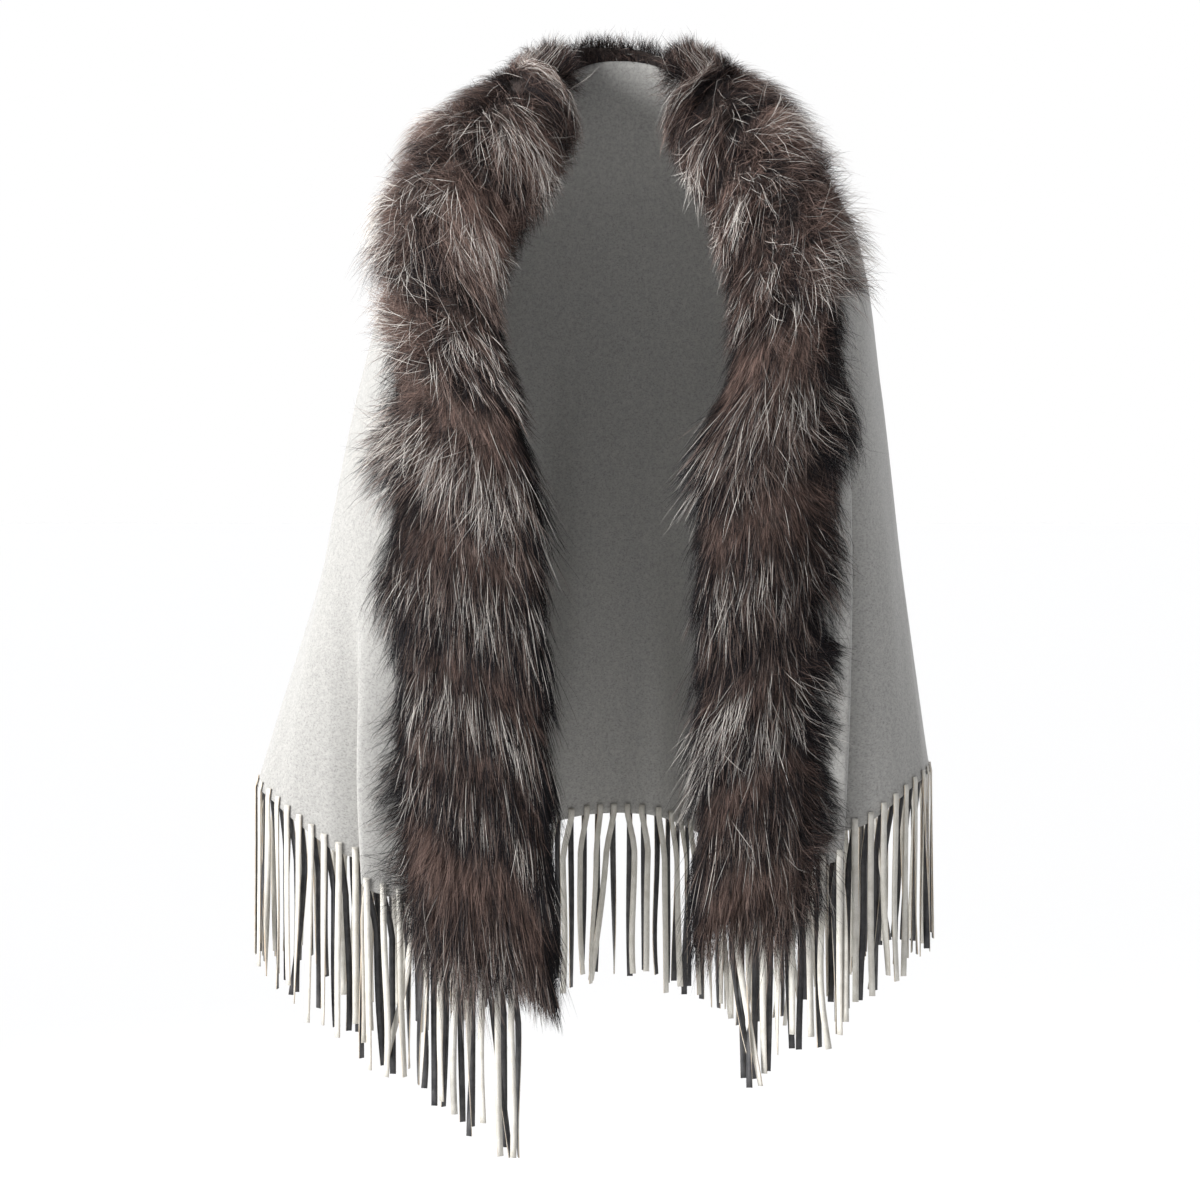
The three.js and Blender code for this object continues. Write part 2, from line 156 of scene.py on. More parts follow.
# Half a level: from the front edge round the arm to the centre back.
def levelLine(drop, side):
    outward = sideSigns[side]
    at = {key: alongTable(values, drop) for key, values in {**bothSides, **sideLines[side]}.items()}
    back = {key: alongTable(values, drop) for key, values in backLine.items()}
    angle = np.linspace(0, math.pi / 2, cut["curveSteps"] + 1)
    across, along = np.sin(angle) ** cut["fullness"], np.abs(np.cos(angle)) ** cut["fullness"]
    front = np.stack([outward * (at["edgeX"] + (at["armX"] - at["edgeX"]) * across),
                      at["armY"] + (at["edgeY"] - at["armY"]) * along,
                      at["edgeZ"] + (at["armZ"] - at["edgeZ"]) * across], 1)
    rear = np.stack([outward * at["armX"] * along,
                     at["armY"] + (back["y"] - at["armY"]) * across,
                     at["armZ"] + (back["z"] - at["armZ"]) * np.sin(angle) ** 2], 1)
    return np.vstack([front, rear[1:]])


# How far along a half level a column lies. The columns fan out from the neck.
def columnDistance(station, length):
    spread = easeIn(length, cut["fanStart"], cut["fanFull"])
    front = cut["frontLength"] * spread
    rest = (station - cut["frontLength"]) / (cut["halfLength"] - cut["frontLength"])
    return np.where(station <= cut["frontLength"], station * spread, front + (length - front) * rest)


def levelLengths(points):
    steps = np.diff(points, axis=0) * [1, 1, cut["riseWeight"]]
    return np.concatenate([[0], np.cumsum(np.linalg.norm(steps, axis=1))])


def hungLevel(drop, side, station):
    points = levelLine(drop, side)
    lengths = levelLengths(points)
    distance = columnDistance(station, lengths[-1])

    def pointAt(d):
        return np.stack([np.interp(d, lengths, points[:, k]) for k in range(3)], 1)

    place = pointAt(distance)
    along = pointAt(distance + cut["probe"]) - pointAt(distance - cut["probe"])
    along[:, 2] = 0
    along = unit(along)
    out = np.stack([along[:, 1], -along[:, 0], 0 * along[:, 0]], 1) * sideSigns[side]
    for fold in [f for f in folds if f["side"] == side]:
        q = np.clip((station - fold["at"]) / fold["half"], -1, 1)
        grown = easeIn(drop, fold["start"], fold["full"])
        bump, wave = (1 - q * q) ** 2, np.sin(math.pi * q) * (1 - q * q)
        stands = fold["depth"] * wave if fold["tuck"] else -fold["depth"] * bump
        place = place - grown * (along * (fold["tuck"] * wave)[:, None] + out * stands[:, None])
    q = np.minimum(np.abs(station - cut["cornerAt"]) / cut["cornerHalf"], 1)
    place[:, 2] -= cut["cornerDip"] * (1 - q * q) ** 2 * easeIn(drop, cut["cornerFrom"], cut["hemDrop"])
    return place


# Places round the cloth, from the wearer's right front edge to the left one, closer in the laps.
def roundCloth():
    half = cut["halfLength"]
    places = list(np.linspace(-half, half, int(2 * half / cut["columnStep"])))
    for fold in [f for f in folds if f["tuck"]]:
        stations = np.arange(fold["at"] - fold["half"], fold["at"] + fold["half"], cut["lapStep"])
        places += list(sideSigns[fold["side"]] * (half - stations))
    places = np.array(sorted(places))
    return places[np.concatenate([[True], np.diff(places) > cut["closest"]])]


def creaseHeight(around, drop):
    height = np.zeros(np.broadcast(around, drop).shape)
    for crease in creases:
        part = np.clip((drop - crease["top"]) / (crease["foot"] - crease["top"]), 0, 1)
        ends = easeIn(part, 0, 0.35) * (1 if crease["foot"] == cut["hemDrop"] else 1 - easeIn(part, 0.6, 1))
        away = (around - crease["at"] - crease["lean"] * part) / crease["width"]
        height += crease["height"] * ends * np.exp(-away * away)
    slack = (softNoise(around / 70 + 9, drop / 150, 3) * cut["slack"]
             + softNoise(around / 31, drop / 90, 4) * cut["fineSlack"])
    return height + slack * easeIn(drop, cut["slackFrom"], cut["slackFull"])


def gridNormals(points):
    across = np.gradient(points, axis=1)
    downward = np.gradient(points, axis=0)
    return unit(np.cross(across, downward))


# Averages a field over the grid with its neighbours.
def soften(field, times):
    for _ in range(times):
        wide = np.pad(field, ((1, 1), (1, 1), (0, 0)), mode="edge")
        field = (wide[:-2, 1:-1] + wide[2:, 1:-1] + wide[1:-1, :-2] + wide[1:-1, 2:] + field) / 5
    return field


around = roundCloth()
drops = np.linspace(0, cut["hemDrop"], int(cut["hemDrop"] / cut["rowStep"]) + 1)
station = cut["halfLength"] - np.abs(around)
isRight = around < 0
levels = []
for drop in drops:
    level = np.empty((len(around), 3))
    for side, chosen in bySide(isRight):
        level[chosen] = hungLevel(drop, side, station[chosen])
    levels.append(level)
smooth = np.array(levels)
cloth = smooth + gridNormals(smooth) * creaseHeight(around[None, :], drops[:, None])[..., None]
cloth *= mm
clothNormals = gridNormals(cloth)
print("cloth hung,", len(drops), "by", len(around))


def newMaterial(name, colour, roughness):
    material = bpy.data.materials.new(name)
    material.use_nodes = True
    shader = material.node_tree.nodes["Principled BSDF"]
    shader.inputs["Base Color"].default_value = (*colour, 1)
    shader.inputs["Roughness"].default_value = roughness
    return material, shader


# Links a node's output to a socket, or sets the socket to a fixed value.
def feed(material, value, socket):
    if isinstance(value, bpy.types.NodeSocket):
        material.node_tree.links.new(value, socket)
    else:
        socket.default_value = value


def addNode(material, kind, inputs=(), **settings):
    node = material.node_tree.nodes.new(kind)
    for key, value in settings.items():
        setattr(node, key, value)
    for key, value in dict(inputs).items():
        feed(material, value, node.inputs[key])
    return node


def objectPlace(material):
    return addNode(material, "ShaderNodeTexCoord").outputs["Object"]


def noiseOn(material, vector, scale, detail=2, roughness=0.5):
    return addNode(material, "ShaderNodeTexNoise", {
        "Vector": vector, "Scale": scale, "Detail": detail, "Roughness": roughness}).outputs["Fac"]


def stretched(material, vector, scale):
    return addNode(material, "ShaderNodeMapping", {"Vector": vector, "Scale": scale}).outputs["Vector"]


# Colours against a factor: stops is a list of (place, colour).
def rampOf(material, factor, stops):
    node = addNode(material, "ShaderNodeValToRGB", {"Fac": factor})
    elements = node.color_ramp.elements
    while len(elements) < len(stops):
        elements.new(0.5)
    for element, (place, colour) in zip(elements, stops):
        element.position = place
        element.color = (*colour, 1)
    return node.outputs["Color"]


def mixColours(material, kind, factor, first, second):
    node = addNode(material, "ShaderNodeMix", data_type="RGBA", blend_type=kind)
    for socket, value in ((node.inputs["Factor"], factor), (node.inputs[6], first), (node.inputs[7], second)):
        feed(material, value, socket)
    return node.outputs[2]


def calculate(material, operation, first, second=0.0):
    return addNode(material, "ShaderNodeMath", {0: first, 1: second}, operation=operation).outputs[0]


# The sum of some outputs, each times its own share.
def weighted(material, *pairs):
    total = None
    for output, share in pairs:
        part = calculate(material, "MULTIPLY", output, share)
        total = part if total is None else calculate(material, "ADD", total, part)
    return total


# Colours the shader by one field, made darker and lighter by another.
def colourBy(material, shader, colour, tone):
    mixed = mixColours(material, "MULTIPLY", 1.0, colour, tone)
    feed(material, mixed, shader.inputs["Base Color"])


def bumpOn(material, shader, height, strength, distance):
    bump = addNode(material, "ShaderNodeBump", {
        "Height": height, "Strength": strength, "Distance": distance})
    feed(material, bump.outputs["Normal"], shader.inputs["Normal"])


# Sizes of noise are in bumps a metre; size is the flat cloth, in metres.
wool = {
    "colours": [(0.39, (0.275, 0.270, 0.260)), (0.47, (0.37, 0.363, 0.347)), (0.58, (0.43, 0.423, 0.404))],
    "mottling": [(0.35, (0.92, 0.92, 0.92)), (0.65, (1.05, 1.047, 1.042))],
    "size": (2.25, 0.86, 1), "fibres": (300, 900, 1), "flecks": 430, "mottle": 210,
    "nap": 0.3, "napHeight": 0.0007, "sheen": 0.35, "sheenRoughness": 0.5, "roughness": 0.92,
}


def woolMaterial():
    material, shader = newMaterial("wool_melange", wool["colours"][1][1], wool["roughness"])
    place = objectPlace(material)
    surface = addNode(material, "ShaderNodeUVMap", uv_map="cloth").outputs["UV"]
    weave = stretched(material, stretched(material, surface, wool["size"]), wool["fibres"])
    fibres = noiseOn(material, weave, 1.0, 3, 0.6)
    flecks = noiseOn(material, place, wool["flecks"], 3, 0.65)
    mottle = noiseOn(material, place, wool["mottle"])
    mixed = weighted(material, (fibres, 0.5), (flecks, 0.5))
    colourBy(material, shader, rampOf(material, mixed, wool["colours"]),
             rampOf(material, mottle, wool["mottling"]))
    shader.inputs["Sheen Weight"].default_value = wool["sheen"]
    shader.inputs["Sheen Roughness"].default_value = wool["sheenRoughness"]
    bumpOn(material, shader, mixed, wool["nap"], wool["napHeight"])
    return material


leather = {
    "grain": 900, "grainDepth": 0.0004, "patches": 60, "unevenRoughness": 0.1,
    "grainTone": [(0.3, (0.9, 0.9, 0.9)), (0.7, (1.05, 1.05, 1.05))], "shadeAt": 0.35, "mainAt": 0.62,
}
# The two faces of a strip and its raw edge, in the order of its material slots.
leatherFaces = {
    "cream": {"main": (0.74, 0.715, 0.655), "shade": (0.62, 0.59, 0.525), "roughness": 0.55, "bump": 0.25},
    "black": {"main": (0.028, 0.028, 0.032), "shade": (0.075, 0.073, 0.075), "roughness": 0.42, "bump": 0.35},
    "edge": {"main": (0.60, 0.49, 0.37), "shade": (0.62, 0.59, 0.525), "roughness": 0.8, "bump": 0.4},
}


def leatherMaterial(face):
    look = leatherFaces[face]
    material, shader = newMaterial(f"leather_{face}", look["main"], look["roughness"])
    place = objectPlace(material)
    patches = noiseOn(material, place, leather["patches"], 3, 0.6)
    grain = noiseOn(material, place, leather["grain"], 3, 0.6)
    stops = [(leather["shadeAt"], look["shade"]), (leather["mainAt"], look["main"])]
    colourBy(material, shader, rampOf(material, patches, stops),
             rampOf(material, grain, leather["grainTone"]))
    duller, shinier = (look["roughness"] + way * leather["unevenRoughness"] for way in (1, -1))
    rough = rampOf(material, grain, [(0.3, (duller,) * 3), (0.7, (shinier,) * 3)])
    feed(material, rough, shader.inputs["Roughness"])
    bumpOn(material, shader, grain, look["bump"], leather["grainDepth"])
    return material


# Kinds of hair, as colours from root to tip. A hair's place across its own map picks its kind and,
# within that kind's share of the map, how light it is, painted shade included; its place up the map runs
# along it.
hairKinds = {
    "pale down": [(0.0, (0.048, 0.032, 0.028)), (0.5, (0.190, 0.127, 0.107)), (1.0, (0.360, 0.250, 0.212))],
    "brown down": [(0.0, (0.026, 0.018, 0.016)), (0.5, (0.084, 0.054, 0.046)), (1.0, (0.150, 0.098, 0.082))],
    "grey down": [(0.0, (0.012, 0.010, 0.010)), (0.6, (0.022, 0.018, 0.019)), (1.0, (0.038, 0.032, 0.033))],
    "black guard": [(0.0, (0.018, 0.014, 0.014)), (0.5, (0.011, 0.010, 0.012)), (1.0, (0.016, 0.015, 0.019))],
    "grizzled guard": [(0.0, (0.022, 0.018, 0.017)), (0.55, (0.018, 0.016, 0.018)),
                       (0.74, (0.150, 0.135, 0.132)), (1.0, (0.034, 0.031, 0.034))],
    "silver guard": [(0.0, (0.030, 0.023, 0.021)), (0.45, (0.030, 0.025, 0.025)),
                     (0.60, (0.620, 0.585, 0.545)), (0.90, (0.790, 0.760, 0.715)),
                     (1.0, (0.300, 0.280, 0.270))],
    "white guard": [(0.0, (0.045, 0.035, 0.031)), (0.36, (0.100, 0.080, 0.070)),
                    (0.54, (0.740, 0.700, 0.645)), (1.0, (0.950, 0.920, 0.870))],
    "brown guard": [(0.0, (0.034, 0.024, 0.021)), (0.5, (0.105, 0.073, 0.063)),
                    (0.8, (0.300, 0.230, 0.200)), (1.0, (0.220, 0.165, 0.145))],
}
kindIndex = {name: k for k, name in enumerate(hairKinds)}
# brightness: what a hair's tone, random and with painted shade, does to its colour, from darkest to lightest.
hairFinish = {
    "map": "OFBake", "roughness": 0.58, "specular": 0.12,
    "brightness": [(0.0, (0.42, 0.41, 0.41)), (1.0, (1.42, 1.41, 1.40))],
}


def hairMaterial():
    material, shader = newMaterial("fox_hair", hairKinds["brown down"][-1][1], hairFinish["roughness"])
    both = addNode(material, "ShaderNodeUVMap", uv_map=hairFinish["map"]).outputs["UV"]
    parts = addNode(material, "ShaderNodeSeparateXYZ", {0: both})
    kindAndTone = calculate(material, "MULTIPLY", parts.outputs["X"], float(len(hairKinds)))
    tone = calculate(material, "FRACT", kindAndTone)
    colours = [rampOf(material, parts.outputs["Y"], stops) for stops in hairKinds.values()]
    colour = colours[0]
    for k, own in enumerate(colours[1:], 1):
        isThis = calculate(material, "GREATER_THAN", kindAndTone, float(k))
        colour = mixColours(material, "MIX", isThis, colour, own)
    colourBy(material, shader, colour, rampOf(material, tone, hairFinish["brightness"]))
    shader.inputs["Specular IOR Level"].default_value = hairFinish["specular"]
    return material


peltFinish = {
    "tufts": 38, "colours": [(0.35, (0.030, 0.023, 0.021)), (0.65, (0.110, 0.080, 0.069))],
    "down": 700, "along": (1, 1, 0.25), "shades": [(0.3, (0.55, 0.55, 0.55)), (0.7, (1.25, 1.22, 1.2))],
    "plain": (0.06, 0.045, 0.04), "roughness": 0.9, "bump": 0.8, "depth": 0.002,
}


def peltMaterial():
    material, shader = newMaterial("fox_pelt", peltFinish["plain"], peltFinish["roughness"])
    place = objectPlace(material)
    patches = noiseOn(material, place, peltFinish["tufts"], 3, 0.6)
    down = noiseOn(material, stretched(material, place, peltFinish["along"]), peltFinish["down"], 3, 0.7)
    colourBy(material, shader, rampOf(material, patches, peltFinish["colours"]),
             rampOf(material, down, peltFinish["shades"]))
    bumpOn(material, shader, down, peltFinish["bump"], peltFinish["depth"])
    return material


materials = {"wool": woolMaterial(), "hair": hairMaterial(), "pelt": peltMaterial()}
materials.update({face: leatherMaterial(face) for face in leatherFaces})
print("materials ready")


def addObject(name, data):
    thing = bpy.data.objects.new(name, data)
    bpy.context.collection.objects.link(thing)
    return thing


# A mesh over a grid of places, with a map that runs over the whole grid.
def gridPiece(name, places, material):
    rows, columns = places.shape[:2]
    bm = bmesh.new()
    bm.loops.layers.uv.new("cloth")
    bmesh.ops.create_grid(bm, x_segments=columns - 1, y_segments=rows - 1, size=0.5, calc_uvs=True)
    for vert, place in zip(bm.verts, places.reshape(-1, 3)):
        vert.co = place
    mesh = bpy.data.meshes.new(name)
    bm.to_mesh(mesh)
    bm.free()
    mesh.materials.append(material)
    mesh.shade_smooth()
    return addObject(name, mesh)


def makePanel():
    panel = gridPiece("cloth_panel", cloth, materials["wool"])
    wall = panel.modifiers.new("wall", "SOLIDIFY")
    wall.thickness = cut["wall"] * mm
    wall.offset = 0
    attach(panel, "root")
    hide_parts("cloth_front_right", "cloth_back", "cloth_front_left")
    return panel


panel = makePanel()
print("cloth panel made")


# The value of a grid field at fractional rows and columns.
def sample(field, row, column):
    row = np.clip(row, 0, field.shape[0] - 1.001)
    column = np.clip(column, 0, field.shape[1] - 1.001)
    k, m = row.astype(int), column.astype(int)
    a, b = row - k, column - m
    if field.ndim == 3:
        a, b = a[:, None], b[:, None]
    return ((field[k, m] * (1 - a) + field[k + 1, m] * a) * (1 - b)
            + (field[k, m + 1] * (1 - a) + field[k + 1, m + 1] * a) * b)


# Many small things as one mesh: their points, and the corners and the number of corners of each face.
def joinedMesh(name, places, faceCorners, faceSizes, slots=None):
    mesh = bpy.data.meshes.new(name)
    mesh.vertices.add(len(places))
    mesh.vertices.foreach_set("co", places.astype(np.float32).ravel())
    mesh.loops.add(len(faceCorners))
    mesh.loops.foreach_set("vertex_index", faceCorners.astype(np.int32))
    mesh.polygons.add(len(faceSizes))
    starts = np.concatenate([[0], np.cumsum(faceSizes)[:-1]])
    mesh.polygons.foreach_set("loop_start", starts.astype(np.int32))
    if slots is not None:
        mesh.polygons.foreach_set("material_index", slots.astype(np.int32))
    mesh.update(calc_edges=True)
    mesh.validate()
    return mesh


# Sizes in millimetres and turns in radians; flips and crossing are shares of the strips.
fringe = {
    "pitch": 18, "firstAt": 35, "slitAbove": 9, "width": 6.6, "thickness": 1.2, "length": 187, "uneven": 7,
    "segments": 13, "sway": 4.5, "swing": 4, "waver": 2.2, "twist": 0.5,
    "flips": 0.10, "flipTurn": (1.6, 2.8), "crossing": 0.07, "crossingBehind": 1.6, "crossingReach": 34,
    "aside": 8, "asideUneven": 1.4, "pastHem": 0.02, "seed": 21,
}
# How a leg passes from its slit over the raw hem: how far it stands off, in parts of standOff, and
# how far above the slit or the hem it lies.
standOff = 2.9
loopRow = ("atHem", "share", "rise")
loop = [dict(zip(loopRow, row)) for row in [
    (False, 0.15, 0.0), (False, 0.85, 1.6), (False, 1.0, -2.2), (True, 1.0, 0.0),
]]


# Where the slits are: fractional columns, evenly spaced along the hem.
def slitColumns():
    steps = np.linalg.norm(np.diff(cloth[-1], axis=0), axis=1) / mm
    lengths = np.concatenate([[0], np.cumsum(steps)])
    count = int((lengths[-1] - 2 * fringe["firstAt"]) / fringe["pitch"]) + 1
    at = np.linspace(fringe["firstAt"], lengths[-1] - fringe["firstAt"], count)
    return np.interp(at, lengths, np.arange(len(lengths)))


# The middle line of one leg of each strip, and the way its face looks, from the slit to its end.
def legLines(columns, isFront, rng):
    count, steps = len(columns), fringe["segments"]
    hemRow = np.full(count, cloth.shape[0] - 1.0)
    slit = sample(cloth, hemRow * (1 - fringe["slitAbove"] / cut["hemDrop"]), columns)
    hem = sample(cloth, hemRow, columns)
    hem = hem + (hem - slit) * fringe["pastHem"]
    along = unit(sample(np.gradient(cloth, axis=1), hemRow, columns))
    out = np.cross(along, -down)
    facing = np.sign(np.einsum("ij,ij->i", out, sample(clothNormals, hemRow, columns)))
    out = unit(out * facing[:, None])
    side = 1 if isFront else -1
    length = (fringe["length"] + rng.normal(0, fringe["uneven"], count)) * mm
    neighbours = softNoise(columns / 5.0, 0 * columns, 31) * 0.6
    sway = (rng.normal(0, 0.6, count) + neighbours) * fringe["sway"] * mm
    swing = np.abs(rng.normal(0, 0.7, count)) * fringe["swing"] * mm * side
    crosses = rng.random(count) < fringe["crossing"] * (1 if isFront else fringe["crossingBehind"])
    crossed = crosses * rng.choice([-1, 1], count) * fringe["crossingReach"] * mm
    sway = sway + crossed * rng.uniform(0.5, 1, count)
    waver = rng.normal(0, fringe["waver"], count) * mm
    phase = rng.uniform(0, 2 * math.pi, count)
    turn = rng.normal(0, fringe["twist"], count)
    flips = rng.random(count) < fringe["flips"]
    turn = turn + flips * rng.choice([-1, 1], count) * rng.uniform(*fringe["flipTurn"], count)
    towardEdge = np.where(np.interp(columns, np.arange(len(around)), around) < 0, -1.0, 1.0)
    shifted = fringe["aside"] + rng.normal(0, fringe["asideUneven"], count)
    aside = (0 if isFront else 1) * towardEdge * shifted * mm
    lines, faces = [], []
    for row in loop:
        start = hem if row["atHem"] else slit
        lines.append(start + out * (side * standOff * mm * row["share"]) - down * row["rise"] * mm)
        faces.append(side * out)
    for k in range(1, steps + 1):
        part = k / steps
        place = hem + out * (side * standOff * mm + swing * part ** 1.4)[:, None]
        place = place + down * (length * part)[:, None]
        shift = sway * part ** 1.3 + waver * np.sin(phase + part * 4.2) * part + aside * min(part * 5, 1)
        angle = turn * part ** 1.2
        lines.append(place + along * shift[:, None])
        faces.append(side * out * np.cos(angle)[:, None] + along * np.sin(angle)[:, None])
    return np.array(lines).transpose(1, 0, 2), np.array(faces).transpose(1, 0, 2)


# Flat strips with a cream face, a black face and raw edges, joined in one mesh.
def stripMesh(name, lines, faces):
    count, rings = lines.shape[:2]
    run = unit(np.gradient(lines, axis=1))
    across = unit(np.cross(faces, run))
    face = unit(np.cross(run, across))
    width, thick = fringe["width"] / 2 * mm, fringe["thickness"] / 2 * mm
    corners = np.stack([lines + across * width * m + face * thick * n
                        for m, n in ((-1, 1), (1, 1), (1, -1), (-1, -1))], 2)
    base = (np.arange(count) * rings * 4)[:, None, None] + (np.arange(rings - 1) * 4)[None, :, None]
    sides = []
    for k in range(4):
        m = (k + 1) % 4
        sides.append((base + np.array([k, k + 4, m + 4, m])[None, None, :]).reshape(-1, 4))
    ends = (np.arange(count) * rings * 4)[:, None] + np.arange(4)[None, :]
    feet = ends[:, ::-1] + (rings - 1) * 4
    allFaces = np.vstack(sides + [ends, feet])
    cream, black, edge = range(3)
    sideSlots = [np.full(len(sides[0]), slot) for slot in (cream, edge, black, edge)]
    slots = np.concatenate(sideSlots + [np.full(2 * count, edge)])
    mesh = joinedMesh(name, corners.reshape(-1, 3), allFaces.ravel(), np.full(len(allFaces), 4), slots)
    for key in leatherFaces:
        mesh.materials.append(materials[key])
    return mesh


def makeFringe():
    rng = np.random.default_rng(fringe["seed"])
    columns = slitColumns()
    legs = [legLines(columns, isFront, rng) for isFront in (True, False)]
    at = np.interp(columns, np.arange(len(around)), around)
    corner = cut["halfLength"] - cut["cornerAt"]
    parts = {"right": at < -corner, "back": np.abs(at) <= corner, "left": at > corner}
    pieces = []
    for part, chosen in parts.items():
        lines = np.concatenate([line[chosen] for line, _ in legs])
        faces = np.concatenate([face[chosen] for _, face in legs])
        name = f"leather_strips_{part}"
        piece = addObject(name, stripMesh(name, lines, faces))
        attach(piece, "root")
        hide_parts(f"fringe_{part}")
        pieces.append(piece)
    print("fringe cut,", len(columns), "strips")
    return pieces


strips = makeFringe()


# at: places along the trimmed edge. reach: how far the fur covers the cloth there. nose: how far it
# stands past the edge. rootShare: the part of the reach that has roots. overhang: how far it hangs
# past the hem, from hangsFrom. between and mound: the height between tufts, and added by them, in
# parts of the crown. Lengths in millimetres.
fur = {
    "at": [-60, 60, 120, 200, 250, 310, 370, 440, 640, 860],
    "reach": {"right": [150, 150, 155, 158, 150, 142, 164, 172, 168, 166],
              "left": [150, 122, 118, 124, 134, 142, 140, 122, 114, 114]},
    "nose": {"right": [17, 17, 17, 21, 38, 42, 26, 18, 21, 22],
             "left": [17, 17, 17, 18, 23, 28, 24, 19, 17, 17]},
    "rootShare": {"right": 0.84, "left": 0.93, "collar": 0.84},
    "overhang": {"right": 14, "left": 46},
    "hangsFrom": 770, "between": 0.62, "mound": 0.5, "lumps": 0.10, "offCloth": 1.2,
    "unevenReach": 0.07, "unevenNose": 0.4,
    "rowStep": 5, "columns": 26, "count": {"guard": 78000, "down": 126000}, "seed": 5,
}

# The pelt's section over the cloth: w runs from the trimmed edge over the nose and the crown to the
# outer side; out is in parts of the nose below 0 and of the reach above it, high in parts of height.
peltSection = {
    "w": [0, 0.05, 0.12, 0.22, 0.34, 0.52, 0.72, 0.88, 1],
    "out": [0.02, -0.6, -1.0, -0.45, 0.14, 0.38, 0.66, 0.87, 1.0],
    "high": [0.02, 0.03, 0.34, 0.78, 1.0, 1.06, 0.92, 0.52, 0.05],
}

# Height of the pelt's crown along the trimmed edge; 0 is the corner of the neck.
crownHeights = {"at": [-200, -60, 20, 140, 300, 620, 820, 860], "high": [33, 30, 27, 24, 20, 18, 15, 4]}

# The tufts of the pelt. first and last: places down the trimmed edge (negative round the neck).
# inner and outer: parts of the strip's width. angle: how the hair lies in degrees, 0 down along the
# edge, 90 away from it, negative towards it. fan: how far it spreads. brown: how much underfur
# shows. silver: how many light guard hairs. mess: how tangled. long: length of the guard hairs.
tuftColumns = ("side", "first", "last", "inner", "outer", "angle", "fan",
               "brown", "silver", "mess", "long")
tufts = [dict(zip(tuftColumns, row)) for row in [
    ("right", -215, -120, -0.20, 0.05, -95, 25, 0.50, 0.5, 0.8, 38),
    ("right", -120, -40, -0.20, 0.05, -105, 25, 0.50, 0.6, 0.8, 40),
    ("right", -215, -135, 0.05, 1.00, 88, 30, 0.90, 0.5, 0.7, 54),
    ("right", -135, -50, 0.05, 1.00, 82, 30, 1.00, 0.4, 0.8, 56),
    ("right", -40, 34, -0.20, 0.32, -150, 30, 0.60, 0.8, 0.9, 42),
    ("right", -50, 50, 0.32, 1.00, 76, 44, 1.00, 0.25, 0.95, 56),
    ("right", 34, 112, -0.20, 0.46, -72, 48, 0.70, 0.9, 1.0, 44),
    ("right", 50, 136, 0.46, 1.00, 78, 35, 1.20, 0.6, 0.9, 56),
    ("right", 112, 205, -0.20, 0.50, -40, 62, 1.20, 0.7, 1.0, 46),
    ("right", 136, 234, 0.50, 1.00, 78, 36, 0.90, 1.0, 0.8, 64),
    ("right", 205, 300, -0.20, 0.42, -34, 50, 0.40, 0.9, 1.0, 42),
    ("right", 234, 318, 0.42, 1.00, 66, 40, 1.30, 0.6, 0.9, 60),
    ("right", 302, 442, -0.20, 1.00, 22, 50, 1.10, 1.15, 0.45, 76),
    ("right", 438, 585, -0.20, 1.00, 2, 24, 0.80, 0.6, 0.15, 68),
    ("right", 582, 672, -0.20, 1.00, 0, 22, 0.80, 0.7, 0.15, 62),
    ("right", 668, 756, -0.20, 1.00, 3, 26, 0.65, 0.35, 0.2, 60),
    ("right", 750, 900, -0.20, 1.00, 4, 24, 1.20, 0.15, 0.2, 58),
    ("left", -215, -130, -0.20, 0.05, -95, 25, 0.50, 0.5, 0.8, 38),
    ("left", -130, -40, -0.20, 0.05, -103, 25, 0.50, 0.6, 0.8, 40),
    ("left", -215, -120, 0.05, 1.00, 88, 30, 0.90, 0.5, 0.7, 54),
    ("left", -120, -45, 0.05, 1.00, 80, 30, 1.00, 0.5, 0.8, 56),
    ("left", -40, 30, -0.20, 0.30, -150, 34, 0.60, 0.9, 1.0, 42),
    ("left", -45, 56, 0.30, 1.00, 78, 42, 1.00, 0.5, 0.9, 60),
    ("left", 30, 88, -0.20, 0.34, -68, 42, 0.40, 0.9, 1.0, 38),
    ("left", 56, 152, 0.34, 1.00, 84, 40, 1.20, 0.8, 0.9, 58),
    ("left", 88, 164, -0.20, 0.36, -50, 44, 0.50, 0.8, 1.0, 38),
    ("left", 152, 250, 0.38, 1.00, 68, 38, 0.90, 0.8, 0.8, 66),
    ("left", 164, 232, -0.20, 0.38, -34, 44, 0.50, 0.9, 0.9, 42),
    ("left", 230, 402, -0.20, 0.76, -4, 44, 1.30, 0.6, 0.45, 66),
    ("left", 250, 425, 0.76, 1.05, 12, 16, 0.05, 0.3, 0.3, 64),
    ("left", 398, 608, -0.20, 1.00, 0, 22, 1.00, 0.40, 0.15, 66),
    ("left", 604, 714, -0.20, 1.00, -4, 40, 0.50, 1.0, 0.4, 60),
    ("left", 708, 812, -0.20, 1.00, 2, 24, 0.80, 0.2, 0.2, 60),
    ("left", 804, 900, -0.20, 1.00, 2, 22, 1.40, 0.10, 0.2, 58),
]]
tuftEdges = {"wander": 15, "arch": 20, "sway": 0.05}  # how uneven the tufts' outlines are

neckLengths = {side: levelLengths(levelLine(0, side))[-1] for side in sideSigns}
levelWholes = {side: np.array([levelLengths(levelLine(drop, side))[-1] for drop in drops])
               for side in sideSigns}
# The fur lies on the cloth as it would hang without its laps.
hairNormals = unit(soften(clothNormals, 30))
lapped = sum(np.exp(-((station - fold["at"]) / fold["half"]) ** 4) * (isRight == (fold["side"] == "right"))
             for fold in folds if fold["tuck"])[None, :, None]
furBase = cloth * (1 - lapped) + soften(cloth, 60) * lapped


